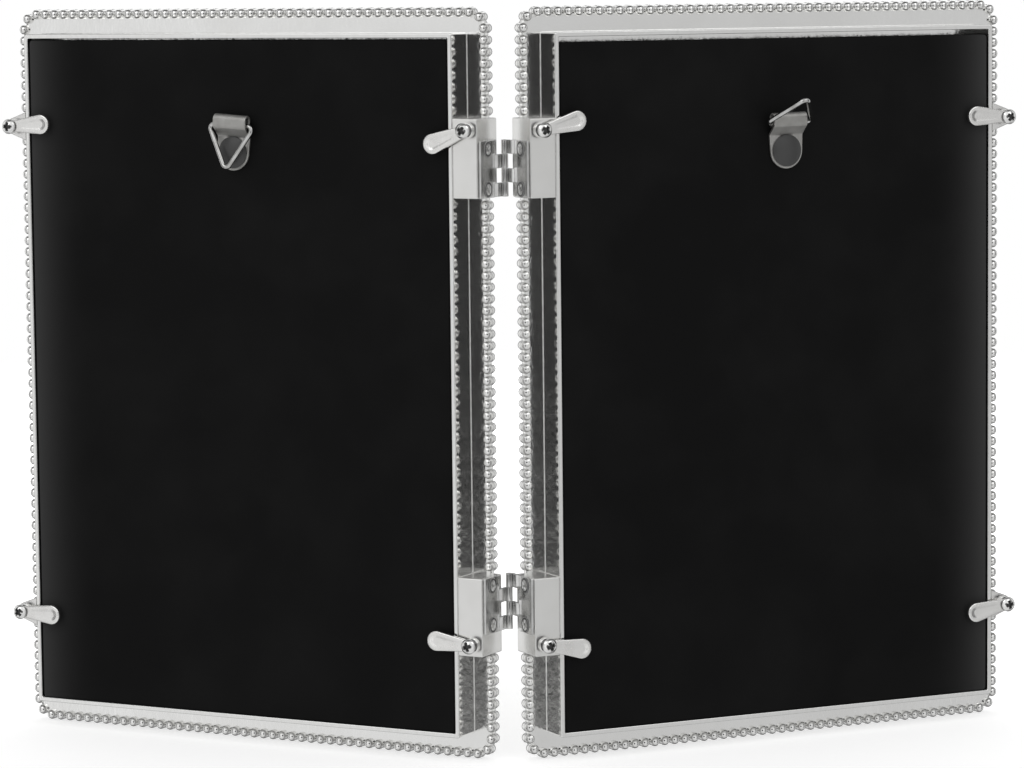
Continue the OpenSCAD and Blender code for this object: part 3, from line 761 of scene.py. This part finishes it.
class PHOTO_FRAME_OT_beads(Operator):
    """Bead rows and the edge strip that joins them"""

    bl_idname = "photo_frame.beads"
    bl_label = "Bead rows"

    def bead(self):
        """One bead turned about y: a front half ball, a straight body with a waist, and a rear ball given as
        latitudes with the painted shade on each: a dark ring painted on the rear ball in place of a dark
        reflection."""
        p = panel_sizes()
        # Painted reflection: the second number of each latitude is how dark it is painted, a dark ring on the
        # rear ball
        rear = ((-24.0, 0.4), (0.0, 0.0), (20.0, 0.1), (38.0, 0.75), (52.0, 0.2), (70.0, 0.0), (90.0, 0.0))
        latitudes, painted_dark = zip(*rear)
        front = np.radians([90.0, 62.0, 32.0, 0.0])
        profile = [(p.bead_r * math.cos(a), -p.bead_body - p.bead_r * math.sin(a)) for a in front]
        waist_r, waist_y = 0.97 * p.bead_r, -0.72 * p.bead_r
        profile.append((waist_r, waist_y))
        unshaded = [0.0] * len(profile)
        profile += [(p.bead_r * math.cos(a), p.bead_r * math.sin(a)) for a in np.radians(latitudes)]
        return turned(profile, 12, unshaded + list(painted_dark))

    def places(self):
        """Bead centres: rows at equal spacing, corners at 45 degrees, none beside the brackets."""
        p, h, m = panel_sizes(), hardware_sizes(), levels()
        r = p.bead_corner_r
        across = np.linspace(r, m.line_w - r, p.beads_across + 1)
        up = np.linspace(r, m.line_h - r, p.beads_up + 1)
        half = h.bracket_h / 2
        free = np.all([np.abs(up - z - half) >= half + p.bead_r for z in m.bracket_zs], axis=0)
        c = r * (1 - math.cos(math.pi / 4))
        xz = [(x, z) for z in (0.0, m.line_h) for x in across]
        xz += [(m.line_w, z) for z in up] + [(0.0, z) for z in up[free]]
        xz += [(x, z) for x in (c, m.line_w - c) for z in (c, m.line_h - c)]
        return at_level(np.array(xz), 0.0)

    def strip(self):
        """The edge strip: a small section carried along the bead line, in two stretches between brackets."""
        p, h, m = panel_sizes(), hardware_sizes(), levels()
        edge = 0.0003
        fore = [(i, m.face_front + d) for i, d in rounding(edge, 3)]
        rear = [(i, m.face_back - d) for i, d in rounding(edge, 3)[::-1]]
        section = [(p.bead_r, m.face_front)] + fore + rear + [(p.bead_r, m.face_back)]
        low, high = m.bracket_zs
        towards_hinge = [(-1.0, 0.0)]
        middle = np.array([(0.0, high), (0.0, low + h.bracket_h)])
        loop = corner_arcs(0.0, 0.0, m.line_w, m.line_h, p.bead_corner_r, 8)
        path = np.concatenate([[(0.0, low)], loop, [(0.0, high + h.bracket_h)]])
        normals = [arc((0.0, 0.0), 1.0, angles) for angles in quarters(8)]
        around = carried(path, np.concatenate([towards_hinge, *normals, towards_hinge]), section)
        return carried(middle, np.array(towards_hinge * 2), section).add(around)

    def execute(self, context):
        for side in SIDES:
            shell = Shell().repeat(self.bead(), self.places()).add(self.strip())
            finish_piece(side, "bead_rows", shell, "frame", bright_silver(),
                         ["bead_border"], 50, False)
        return {"FINISHED"}


class PHOTO_FRAME_OT_face_plates(Operator):
    """Face plates with the stepped picture opening"""

    bl_idname = "photo_frame.face_plates"
    bl_label = "Face plates"

    def outer(self):
        """The plate's outer line, counter-clockwise, cut back to the tray beside the two brackets."""
        p, h, m = panel_sizes(), hardware_sizes(), levels()
        inside = p.bead_r
        loop = corner_arcs(inside, inside, m.line_w - inside, m.line_h - inside, p.bead_corner_r - inside, 6)
        cuts = [(x, z) for low in m.bracket_zs[::-1]
                for x, z in ((inside, low + h.bracket_h), (p.edge_margin, low + h.bracket_h),
                             (p.edge_margin, low), (inside, low))]
        return np.concatenate([loop, cuts])

    def sight(self, grow):
        """The picture opening, grown by a margin, with as many points as the outer line."""
        p, h, m = panel_sizes(), hardware_sizes(), levels()
        edge = m.inner + p.lip_w - grow
        loop = corner_arcs(edge, edge, m.line_w - edge, m.line_h - edge, 0.0003, 6)
        ease = 0.001
        cuts = [(edge, z) for low in m.bracket_zs[::-1]
                for z in (low + h.bracket_h + ease, low + h.bracket_h - ease, low + ease, low - ease)]
        return np.concatenate([loop, cuts])

    def execute(self, context):
        p, m = panel_sizes(), levels()
        top, edge = m.face_front - p.step_t, rounding(0.00012, 3)
        rings = [at_level(self.outer(), m.face_front), at_level(self.outer(), m.face_back),
                 at_level(self.sight(0.0), m.face_back)]
        rings += [at_level(self.sight(i), top + d) for i, d in edge[::-1]]
        rings += [at_level(self.sight(p.step_w - i), top + d) for i, d in edge]
        rings += [at_level(self.sight(p.step_w), m.face_front)]
        shell = Shell().grid(np.stack(rings), wrap_rows=True)
        for side in SIDES:
            finish_piece(side, "face_plate", shell, "frame", satin_silver(), ["face_frame"])
        return {"FINISHED"}


class PHOTO_FRAME_OT_trays(Operator):
    """Rear trays: four walls with a rounded rim"""

    bl_idname = "photo_frame.trays"
    bl_label = "Rear trays"

    def execute(self, context):
        p, m = panel_sizes(), levels()
        edge, corner, inner_corner, fillet = 0.00028, 0.0006, 0.0003, 0.00016

        def walls(margin, radius):
            return corner_arcs(margin, margin, m.line_w - margin, m.line_h - margin, radius, 5)

        def outer(inset):
            return walls(p.edge_margin + inset, corner - inset)

        def inner(inset):
            return walls(m.inner - inset, inner_corner + inset)

        rings = [at_level(outer(d - fillet), m.face_back + fillet - i) for i, d in rounding(fillet, 3)]
        rings += [at_level(outer(i), m.rim - d) for i, d in rounding(edge)[::-1]]
        rings += [at_level(inner(i), m.rim - d) for i, d in rounding(edge)]
        rings += [at_level(inner(0.0), m.face_back)]
        shell = Shell().grid(np.stack(rings), wrap_rows=True)
        for side in SIDES:
            finish_piece(side, "tray", shell, "frame", streaked_silver(), ["rear_tray"])
        return {"FINISHED"}


class PHOTO_FRAME_OT_picture_stacks(Operator):
    """Back boards, and the finishes of the glass, the blank print and the card"""

    bl_idname = "photo_frame.picture_stacks"
    bl_label = "Boards and picture stacks"

    def execute(self, context):
        p, m = panel_sizes(), levels()
        corner, front_edge, back_edge = 0.0009, 0.0003, 0.00055
        for side in SIDES:
            gap = p.left_board_gap if side == "left" else p.right_board_gap
            x0, z0 = m.inner + p.board_side_play, m.inner
            x1, z1 = m.line_w - x0, m.line_h - m.inner - gap

            def outline(inset):
                return corner_arcs(x0 + inset, z0 + inset, x1 - inset, z1 - inset, corner - inset, 4)

            shell = plate(outline, m.board_front, m.board_back, front_edge, back_edge)
            finish_piece(side, "board", shell, "frame", black_covering(), ["back_board"])
            repaint(f"{side}_glass", clear_glass())
            repaint(f"{side}_photo_insert", print_paper())
            repaint(f"{side}_backing_card", grey_card())
        return {"FINISHED"}


class PHOTO_FRAME_OT_brackets(Operator):
    """Hinge brackets and the ears on the free side"""

    bl_idname = "photo_frame.brackets"
    bl_label = "Brackets and ears"

    def bracket(self, low):
        """The block from the hinge side to the tray that starts at a height."""
        p, h, m = panel_sizes(), hardware_sizes(), levels()
        corner, edge = 0.0004, 0.0003

        def outline(inset):
            return corner_arcs(-h.bracket_reach + inset, low + inset, p.edge_margin - inset,
                               low + h.bracket_h - inset, corner - inset, 4)

        return plate(outline, m.face_front, m.rim, edge, edge)

    def ear(self):
        """An ear drawn with its root at x = 0: a tip arc and two sides that widen to the tray."""
        h, m = hardware_sizes(), levels()
        edge = 0.00025
        lean = math.acos((h.ear_root_r - h.ear_tip_r) / h.button_out_free)

        def outline(inset):
            root = (h.ear_root_r - inset) / math.sin(lean)
            tip = arc((h.button_out_free, 0.0), h.ear_tip_r - inset, np.linspace(-lean, lean, 15))
            return np.concatenate([tip, [(0.0, root), (0.0, -root)]])

        return plate(outline, m.rim - h.ear_t, m.rim, edge, edge)

    def execute(self, context):
        h, m = hardware_sizes(), levels()
        root_x = m.free_pivot_x - h.button_out_free
        roots = np.array([(root_x, 0.0, z) for z in m.button_zs])
        for side in SIDES:
            brackets = Shell()
            for low in m.bracket_zs:
                brackets.add(self.bracket(low))
            finish_piece(side, "brackets", brackets, "frame", cast_silver(),
                         ["upper_bracket", "lower_bracket"])
            finish_piece(side, "ears", Shell().repeat(self.ear(), roots), "frame", cast_silver(),
                         ["button_ears"])
        return {"FINISHED"}


class PHOTO_FRAME_OT_turn_buttons(Operator):
    """Turn buttons, each on its own pivot"""

    bl_idname = "photo_frame.turn_buttons"
    bl_label = "Turn buttons"

    def button(self):
        """A tapered plate: rounded edges, then rings that shrink to the middle of the wide end. A hollow runs
        along the plate: smooth steps across it and along it, multiplied, deepest at the wide end."""
        h, m = hardware_sizes(), levels()
        low, high = m.button_y, m.button_y + h.button_t
        front_edge, back_edge = 0.0002, 0.00038
        hollow_depth, hollow_ease, hollow_start = 0.00024, 0.0010, 0.1
        hollow_half = 0.66 * h.button_tip_r

        def outline(inset):
            return tapered_outline(h.button_hub_r, h.button_tip_r, h.button_len, inset)

        rings = rounded_rings(outline, low, high, front_edge, back_edge)
        last = outline(back_edge)
        centre = np.array([h.button_len, 0.0])
        for share in np.linspace(1.0, 0.0, 26)[1:]:
            ring = centre + (last - centre) * share
            x, z = ring.T
            reach = x / h.button_len
            half = h.button_hub_r + (h.button_tip_r - h.button_hub_r) * reach
            away = np.hypot(np.maximum(x - h.button_len, 0.0), z) * h.button_tip_r / half
            dish = (np.clip((hollow_half - away) / hollow_ease, 0.0, 1.0)
                    * np.clip((reach - hollow_start) / (1.0 - hollow_start), 0.0, 1.0))
            rings.append(at_level(ring, high - hollow_depth * dish * dish * (3 - 2 * dish)))
        return Shell().grid(np.stack(rings), front_cap=True)

    def execute(self, context):
        m = levels()
        for side in SIDES:
            for key, degrees in BUTTON_TURNS[side].items():
                at_spine = key.startswith("spine")
                pivot = np.array([m.spine_pivot_x if at_spine else m.free_pivot_x, 0.0,
                                  m.button_zs[0] if key.endswith("lower") else m.button_zs[1]])
                turn = math.radians(-degrees if at_spine else 180.0 + degrees)
                shell = Shell().add(self.button(), lambda points: about(points, "y", turn) + pivot)
                finish_piece(side, f"{key}_turn_button", shell, f"{key}_turner", tumbled_silver(),
                             [f"{key}_button"], 50)
        return {"FINISHED"}


def cross_share(x, z, reach, half):
    """Share of a cross recess's depth: the deeper of two arms, each a ramp across times a ramp along it."""
    def ramp(value, edge, soft):
        return np.clip((edge - np.abs(value)) / (edge * soft), 0.0, 1.0)
    side_soft, end_soft = 0.4, 0.16
    return np.maximum(*(ramp(a, half, side_soft) * ramp(b, reach, end_soft) for a, b in ((x, z), (z, x))))


def screw(shank, head, start, seat, dome_r, cross, turn, rim_painted_shade=0.0):
    """A screw along y: shank, head profile up to its edge, then a dome in fine rings that sinks into a cross
    of (reach, half width, depth). Painted shade darkens the seat, the cross and a share of the dome's outer
    ring."""
    reach, half, depth = cross
    rho = head * np.linspace(1.0, 0.0, 30)[1:]
    dome = np.sqrt(dome_r ** 2 - rho ** 2) - math.sqrt(dome_r ** 2 - head ** 2)
    profile = [(0.0, start), (shank, start)] + list(seat)
    rows, around = len(profile), 64
    a = np.linspace(0, 2 * math.pi, around, endpoint=False)
    radius = np.concatenate([[q[0] for q in profile], rho])
    level = np.concatenate([[q[1] for q in profile], seat[-1][1] + dome])
    x, z = radius[:, None] * np.cos(a), radius[:, None] * np.sin(a)
    y = np.broadcast_to(level[:, None], x.shape).copy()
    u, v = x[rows:], z[rows:]
    c, s = math.cos(turn), math.sin(turn)
    share = cross_share(u * c + v * s, v * c - u * s, reach, half)
    y[rows:] -= depth * share
    # Painted shade: darkness painted on the seat, in the cross and on the dome's outer ring, where shade
    # falls
    grime = np.zeros(x.shape)
    seat_bottom, seat_top, rim_start, rim_ease = 1.0, 0.2, 0.7, 0.12
    grime[2:rows] = np.linspace(seat_bottom, seat_top, len(seat))[:, None]
    rim = np.clip((rho / head - rim_start) / rim_ease, 0.0, 1.0)
    grime[rows:] = np.maximum(share, rim_painted_shade * rim[:, None])
    return Shell().grid(np.stack([x, y, z], -1), grime=grime)


class PHOTO_FRAME_OT_button_screws(Operator):
    """Pan-head screws and washers of the turn buttons"""

    bl_idname = "photo_frame.button_screws"
    bl_label = "Button screws and washers"

    def pan_head(self, degrees):
        """A pan-head screw on the y axis, its cross turned by so many degrees."""
        h, m = hardware_sizes(), levels()
        edge, shank_in_ear = 0.00018, 0.0026
        seat = [(h.screw_r, m.head_y), (h.head_r - edge, m.head_y)]
        seat += [(h.head_r - i, m.head_y + d) for i, d in rounding(edge, 3)[1:]]
        seat += [(h.head_r, m.head_y + m.head_rim)]
        cross = (0.0012, 0.0005, 0.0008)
        return screw(h.screw_r, h.head_r, m.rim - shank_in_ear, seat, m.head_dome_r, cross,
                     math.radians(degrees))

    def washers(self):
        """Two thin rings on the y axis, with painted shade in the grooves where their outer edges meet their
        neighbours.
        """
        h, m = hardware_sizes(), levels()
        half, edge, groove, step = h.spacer_t / 2, 0.00011, 0.0004, 0.00006
        pair = Shell()
        for base in (m.rim, m.rim + half):
            low, high = base + step, base + half - step
            profile = [(h.screw_r, base), (h.spacer_r - groove, base), (h.spacer_r - groove, low)]
            profile += [(h.spacer_r - i, low + d) for i, d in rounding(edge, 3)]
            profile += [(h.spacer_r - i, high - d) for i, d in rounding(edge, 3)[::-1]]
            profile += [(h.spacer_r - groove, high), (h.spacer_r - groove, base + half),
                        (h.screw_r, base + half), (h.screw_r, base)]
            # Painted shade in the grooves: darkest on the groove's floor and wall, fading onto the washer's
            # edge
            dark = [0.0, 1.0, 1.0, 0.3]
            pair.add(turned(profile, 40, dark + [0.0] * (len(profile) - 2 * len(dark)) + dark[::-1]))
        return pair

    def execute(self, context):
        m = levels()
        spots = np.array([(x, 0.0, z) for x in (m.spine_pivot_x, m.free_pivot_x) for z in m.button_zs])
        cross_turns = {"left": (20, -35, 10, 60), "right": (-15, 30, 50, 5)}
        for side in SIDES:
            heads = Shell()
            for spot, degrees in zip(spots, cross_turns[side]):
                heads.add(self.pan_head(degrees), lambda points: points + spot)
            finish_piece(side, "pan_heads", heads, "frame", screw_plate(),
                         ["button_screws"], 35, False)
            finish_piece(side, "washers", Shell().repeat(self.washers(), spots), "frame", bright_silver(),
                         ["button_spacers"])
        return {"FINISHED"}


class PHOTO_FRAME_OT_hinges(Operator):
    """Hinge leaves with rolled knuckles, their screws, and the finish of the pins"""

    bl_idname = "photo_frame.hinges"
    bl_label = "Hinges"

    def leaf(self, places):
        """The lower leaf: a plate across x, and rolled knuckles drawn in x and y and carried along z."""
        h, m = hardware_sizes(), levels()
        edge, hinge_side_edge, corner, straight = 0.0001, 0.00016, 0.0004, 0.0006

        def leaf_outline(inset):
            return corner_arcs(m.leaf_front + inset, m.hinge_low + inset, m.leaf_rear - inset,
                               m.hinge_low + h.hinge_h - inset, corner - inset, 4)

        def knuckle_outline(inset):
            """Up the strap's inner side, round the pin and back up its outer side, counter-clockwise."""
            cx, cy, r = -m.pin_side, -h.pin_forward, h.knuckle_r - inset
            lap = h.leaf_t * 0.8
            top = m.leaf_front + lap
            left, right = m.leaf_x + inset, -h.bracket_reach - inset
            roll = arc((cx, cy), r, np.linspace(0.0, -2 * math.pi + math.acos((left - cx) / r), 36))
            return np.concatenate([[(right, top), (right, cy + straight)], roll, [(left, top)]])[::-1]

        flat = plate(leaf_outline, h.bracket_reach, -m.leaf_x, edge, hinge_side_edge)
        shell = Shell().add(flat, lambda q: np.stack([-q[:, 1], q[:, 0], q[:, 2]], -1))
        step = h.hinge_h / 4
        for i in places:
            low = m.hinge_low + i * step + m.play
            knuckle = plate(knuckle_outline, -(low + step - 2 * m.play), -low, edge, edge)
            shell.add(knuckle, lambda q: np.stack([q[:, 0], q[:, 2], -q[:, 1]], -1))
        return shell

    def leaves(self, side):
        """Both leaves of a panel: the upper one is a lower one mirrored in height, with its own knuckles."""
        m = levels()
        low_places, high_places = ([1, 3], [0, 2]) if side == "left" else ([0, 2], [1, 3])
        upper = self.leaf(high_places)
        upper.faces = [f[::-1] for f in upper.faces]
        return self.leaf(low_places).add(upper, lambda q: q * [1.0, 1.0, -1.0] + [0.0, 0.0, m.line_h])

    def screws(self, side):
        """Four raised countersunk screws whose heads look towards the hinge."""
        h, m = hardware_sizes(), levels()
        y = m.leaf_rear - h.hinge_screw_inset
        mid = m.hinge_low + h.hinge_h / 2
        crown, rim = 0.3 * h.hinge_head_proud, 0.7 * h.hinge_head_proud
        crown_r = (h.hinge_head_r ** 2 + crown ** 2) / (2 * crown)
        # The last value is how dark the heads' outer ring is painted: painted shade round the countersunk
        # heads
        sunk, skirt, skirt_sunk, shank_in_bracket, rim_painted_shade = 0.00065, 0.0001, 0.00003, 0.0045, 0.85
        seat = [(h.screw_r, -sunk), (h.hinge_head_r - skirt, -skirt_sunk)]
        seat += [(h.hinge_head_r - i, rim - d) for i, d in rounding(rim)[::-1]]
        cross = (0.0013, 0.00038, 0.0006)
        shell = Shell()
        for upper in (False, True):
            for s in (-1, 1):
                degrees = (-40 if upper else 25) * s + (12 if side == "left" else 0)
                one = screw(h.screw_r, h.hinge_head_r - rim, -h.leaf_t - shank_in_bracket, seat, crown_r,
                            cross, math.radians(degrees), rim_painted_shade)
                z = mid + s * h.hinge_screw_spacing / 2
                z = m.line_h - z if upper else z
                shell.add(one, lambda q: np.stack([m.leaf_x - q[:, 1], y + q[:, 0], z + q[:, 2]], -1))
        return shell

    def execute(self, context):
        for side in SIDES:
            finish_piece(side, "leaves", self.leaves(side), "frame", nickel_plate(),
                         ["upper_hinge_leaf", "lower_hinge_leaf"])
            finish_piece(side, "leaf_screws", self.screws(side), "frame", screw_plate(),
                         ["hinge_screws"], 35, False)
        for node in ("upper_hinge_pin", "lower_hinge_pin"):
            repaint(node, nickel_plate())
        return {"FINISHED"}


class PHOTO_FRAME_OT_hangers(Operator):
    """Hanger straps, rivets and wire rings"""

    bl_idname = "photo_frame.hangers"
    bl_label = "Hangers"

    def strap_line(self):
        """The middle of the strap as (y, z): flat up the board, a slope away from it, then round the ring's
        wire in a long loop of three arcs, the middle one lifted by the loop's drop."""
        h, m = hardware_sizes(), levels()
        flat_y = m.strap_y + h.strap_t / 2
        roll = m.loop_r - h.strap_t / 2
        rise, run = m.loop_y - flat_y, m.ring_z - m.bend_z
        slope = math.atan2(rise, run) + math.asin(roll / math.hypot(rise, run))
        before_bend, bend_share, bend_out, tail_end = 0.0004, 0.02, 0.00004, math.radians(225.0)
        end = -h.strap_end_r * np.cos(np.linspace(0.0, math.pi / 2, 12))
        flat_z = np.concatenate([end, np.linspace(0.0, m.bend_z - before_bend, 5)[1:]])
        flat = np.stack([np.full(len(flat_z), flat_y), flat_z], -1)
        foot = np.array([flat_y, m.bend_z])
        along = np.array([m.loop_y + roll * math.cos(slope), m.ring_z - roll * math.sin(slope)]) - foot
        sloping = foot + np.linspace(0.0, 1.0, 7)[1:, None] * along
        arcs = (np.linspace(-slope, 0.0, 8)[1:], np.linspace(0.0, math.pi, 20),
                np.linspace(math.pi, tail_end, 7))
        rolled = [arc((m.loop_y, m.ring_z + lift), roll, angles)
                  for lift, angles in zip((0.0, h.loop_drop, 0.0), arcs)]
        return np.concatenate([flat, [foot + along * bend_share + [bend_out, 0.0]], sloping, *rolled])

    def strap(self):
        """The strap about its rivet: a section with four rounded corners carried along the strap's line. Its
        half width closes to a round end."""
        h, m = hardware_sizes(), levels()
        line = self.strap_line()
        ahead = np.gradient(line, axis=0)
        ahead /= np.linalg.norm(ahead, axis=1)[:, None]
        out = np.stack([ahead[:, 1], -ahead[:, 0]], -1)
        z = line[:, 1]
        end_half = np.sqrt(np.maximum(h.strap_end_r ** 2 - z ** 2, 0.0))
        run_half = h.strap_end_r + (h.strap_w / 2 - h.strap_end_r) * np.clip(z / m.bend_z, 0.0, 1.0)
        least = 0.0001
        width = np.maximum(np.where(z < 0, end_half, run_half), least)[:, None]
        edge, corner_points = 0.00016, 4
        quarter = np.linspace(0, math.pi / 2, corner_points)
        a = np.concatenate([quarter + i * math.pi / 2 for i in range(4)])
        side = np.repeat([1.0, -1.0, -1.0, 1.0], corner_points)
        face = np.repeat([1.0, 1.0, -1.0, -1.0], corner_points)
        thick = face * (h.strap_t / 2 - edge) + edge * np.sin(a)
        x = width * side + np.minimum(edge, width) * (np.cos(a) - side)
        y, z = (line[:, i, None] + out[:, i, None] * thick for i in (0, 1))
        return Shell().grid(np.stack([x, y, z], -1), front_cap=True, back_cap=True)

    def ring(self):
        """A round wire carried round a three-cornered line: three sides and three arcs of 120 degrees."""
        h = hardware_sizes()
        bend = h.ring_bend_r
        straight = h.ring_side - 2 * bend * math.tan(math.radians(60))
        fall = -h.ring_side / 2 * math.tan(math.radians(30))
        t = np.radians(np.linspace(90, -30, 11))
        side_x = np.linspace(-straight / 2, straight / 2, 7)[:-1]
        stretch = np.concatenate([np.stack([side_x, np.full(6, -fall)], -1),
                                  arc((straight / 2, -fall - bend), bend, t)])
        outward = np.concatenate([np.tile([0.0, 1.0], (6, 1)), arc((0.0, 0.0), 1.0, t)])
        line, out = [], []
        for turn in np.radians([0, 120, 240]):
            c, s = math.cos(turn), math.sin(turn)
            spin = np.array([[c, -s], [s, c]])
            line.append(stretch @ spin + [0.0, fall])
            out.append(outward @ spin)
        line, out = np.concatenate(line), np.concatenate(out)
        a = np.linspace(0, 2 * math.pi, 16, endpoint=False)
        x, z = (line[:, i, None] + h.wire_r * out[:, i, None] * np.cos(a) for i in (0, 1))
        y = np.broadcast_to(h.wire_r * np.sin(a), x.shape)
        return Shell().grid(np.stack([x, y, z], -1), wrap_rows=True)

    def rivet(self):
        """Shank, spread end inside the board and a low domed cap, turned about y."""
        h, m = hardware_sizes(), levels()
        base, rim, edge, edge_t = m.cap_y, 0.0003, 0.00012, 0.0001
        foot, foot_r, foot_t, shank_r = m.board_front, 0.003, 0.0008, 0.0016
        dome = h.cap_t - rim
        dome_r = (h.cap_r ** 2 + dome ** 2) / (2 * dome)
        rho = h.cap_r * np.array([0.985, 0.95, 0.9, 0.82, 0.7, 0.55, 0.4, 0.22, 0.1, 0.0])
        arch = np.sqrt(dome_r ** 2 - rho ** 2) - (dome_r - dome)
        profile = [(0.0, foot), (foot_r, foot), (foot_r, foot + foot_t), (shank_r, foot + foot_t),
                   (shank_r, base), (h.cap_r - edge, base), (h.cap_r, base + edge_t), (h.cap_r, base + rim)]
        return turned(profile + list(zip(rho, base + rim + arch)), 56)

    def execute(self, context):
        h, m = hardware_sizes(), levels()
        loop = np.array([0.0, m.loop_y, m.ring_z])
        for side in SIDES:
            x, z = rivet_place(side)
            turn = h.left_strap_turn if side == "left" else h.right_strap_turn
            swing = h.left_ring_swing if side == "left" else h.right_ring_swing

            def hung(points):
                return about(points, "y", turn) + [x, 0.0, z]

            strap = Shell().add(self.strap(), hung)
            ring = Shell().add(self.ring(), lambda q: hung(about(q, "x", swing) + loop))
            rivet = Shell().add(self.rivet(), lambda q: q + [x, 0.0, z])
            finish_piece(side, "strap_sheet", strap, "strap", strap_nickel(),
                         ["hanger_strap"], 45)
            finish_piece(side, "wire_ring", ring, "ring", wire_nickel(),
                         ["hanger_ring"], 60, False)
            finish_piece(side, "rivet_cap", rivet, "frame", black_enamel(),
                         ["hanger_rivet"], 45, False)
        return {"FINISHED"}


class PHOTO_FRAME_OT_stage(Operator):
    """Floor, surroundings, lamps and camera"""

    bl_idname = "photo_frame.stage"
    bl_label = "Stage"

    def floor(self):
        """A flat disc a hair below the lowest bead: rings of growing radius."""
        radius, below = np.array([0.0, 0.3, 0.6, 1.1]), 0.0001
        a = np.linspace(0, 2 * math.pi, 64, endpoint=False)
        x, y = radius[:, None] * np.cos(a), radius[:, None] * np.sin(a)
        shell = Shell().grid(np.stack([x, y, np.full(x.shape, -below)], -1))
        floor = placed("studio_floor", welded("studio_floor", shell.points[0], shell.faces))
        floor.data.materials.append(pale_floor())
        floor.visible_glossy = False

    def surroundings(self):
        """A white room to the camera and a softer one to matte surfaces. Metal sees it dimmer at the front
        and low down, with dark patches straight behind and straight ahead and a dark band round the sides:
        functions of a direction's x, y and z."""
        studio = bpy.context.scene.photo_frame_studio
        world = bpy.data.worlds.new("Studio")
        world.use_nodes = True
        bpy.context.scene.world = world
        r = Recipe(world.node_tree)
        direction = r.out("ShaderNodeTexCoord", "Generated")
        across, along, height = r.outs("ShaderNodeSeparateXYZ", "XYZ", {0: direction})
        beside_dark, patch_dark, far_front_dark, tilt_across = 0.25, 0.975, 0.7, 0.12
        rear = r.spread(along, -0.14, 0.08)
        wide = r.spread(r.size(across), 0.45, 0.85)
        front = studio.front_level + wide * (1.0 - studio.front_level)
        beside = r.spread(r.size(across), 0.5, 0.7) * r.spread(along, 0.35, 0.5)
        room = (front + rear * (1.0 - front)) * (1.0 - beside * beside_dark)
        patch = r.spread(along, 0.945, 0.965) * (0.7 + 0.3 * r.spread(height, -0.19, -0.165))
        band = r.spread(along, 0.38, 0.28) * r.spread(along, -0.2, -0.08) * r.spread(height, -0.7, -0.45)
        far_front = r.spread(along, -0.88, -0.94)
        dark = ((1.0 - patch * patch_dark) * (1.0 - band * studio.band_depth)
                * (1.0 - far_front * far_front_dark))
        low = studio.low_level + r.spread(height, -0.75, -0.2) * (1.0 - studio.low_level)
        in_metal = room * dark * low * ((1.0 - tilt_across) + across * tilt_across)
        camera, through, glossy = r.rays()
        clear = r.greatest(camera, through)
        matte = (1.0 - clear) * (1.0 - glossy)
        strength = clear + glossy * (1.0 - clear) * in_metal + matte * studio.sky_level
        background = r.out("ShaderNodeBackground", 0, None, {"Color": WHITE, "Strength": strength})
        r.node("ShaderNodeOutputWorld", None, {"Surface": background})

    def lamps(self):
        """Three broad soft lamps above: one at each side behind the frame and one before it."""
        studio = bpy.context.scene.photo_frame_studio
        places = {"lamp_left": (0.9, 0.75, 1.1), "lamp_right": (-0.9, 0.55, 1.2),
                  "lamp_front": (0.0, -1.1, 1.0)}
        for name, place in places.items():
            lamp = bpy.data.lights.new(name, "AREA")
            lamp.shape, lamp.size, lamp.size_y = "RECTANGLE", 1.0, 0.8
            lamp.energy = studio.lamp_power
            towards = -Vector(place)
            placed(name, lamp).matrix_world = (Matrix.Translation(place)
                                               @ towards.to_track_quat("-Z", "Y").to_matrix().to_4x4())

    def camera(self):
        """The camera of the photograph: placed behind the frame, looking forwards and a little down."""
        studio = bpy.context.scene.photo_frame_studio
        camera = bpy.data.cameras.new("camera")
        camera.sensor_fit, camera.sensor_width = "HORIZONTAL", 36.0
        camera.lens = studio.camera_lens
        camera.clip_start, camera.clip_end = 0.01, 50.0
        piece = placed("camera", camera)
        piece.matrix_world = (Matrix.Translation((studio.camera_x, studio.camera_y, studio.camera_z))
                              @ Matrix.Rotation(math.pi + studio.camera_yaw, 4, "Z")
                              @ Matrix.Rotation(math.pi / 2 - studio.camera_pitch, 4, "X")
                              @ Matrix.Rotation(studio.camera_roll, 4, "Z"))
        bpy.context.scene.camera = piece

    def execute(self, context):
        self.camera()
        self.floor()
        self.surroundings()
        self.lamps()
        context.scene.view_settings.view_transform = "Standard"
        return {"FINISHED"}


class PHOTO_FRAME_PT_build(Panel):
    """Lists the steps that build the picture frame"""

    bl_label = "Picture frame"
    bl_idname = "PHOTO_FRAME_PT_build"
    bl_space_type = "VIEW_3D"
    bl_region_type = "UI"
    bl_category = "Picture frame"

    def draw(self, context):
        for step in STEPS:
            self.layout.operator(step.bl_idname, text=step.bl_label)


GROUPS = {"photo_frame_panel": PhotoFramePanelSizes, "photo_frame_hardware": PhotoFrameHardwareSizes,
          "photo_frame_finishes": PhotoFrameFinishes, "photo_frame_studio": PhotoFrameStudio}
STEPS = (PHOTO_FRAME_OT_stage, PHOTO_FRAME_OT_beads, PHOTO_FRAME_OT_face_plates, PHOTO_FRAME_OT_trays,
         PHOTO_FRAME_OT_picture_stacks, PHOTO_FRAME_OT_brackets, PHOTO_FRAME_OT_turn_buttons,
         PHOTO_FRAME_OT_button_screws, PHOTO_FRAME_OT_hinges, PHOTO_FRAME_OT_hangers)


def register():
    for cls in (*GROUPS.values(), *STEPS, PHOTO_FRAME_PT_build):
        bpy.utils.register_class(cls)
    for name, group in GROUPS.items():
        setattr(bpy.types.Scene, name, bpy.props.PointerProperty(type=group))


def unregister():
    for name in GROUPS:
        delattr(bpy.types.Scene, name)
    for cls in (PHOTO_FRAME_PT_build, *STEPS[::-1], *list(GROUPS.values())[::-1]):
        bpy.utils.unregister_class(cls)


def main():
    """Runs every step in order."""
    register()
    for step in STEPS:
        getattr(bpy.ops.photo_frame, step.bl_idname.split(".")[1])()


if __name__ == "__main__":
    main()
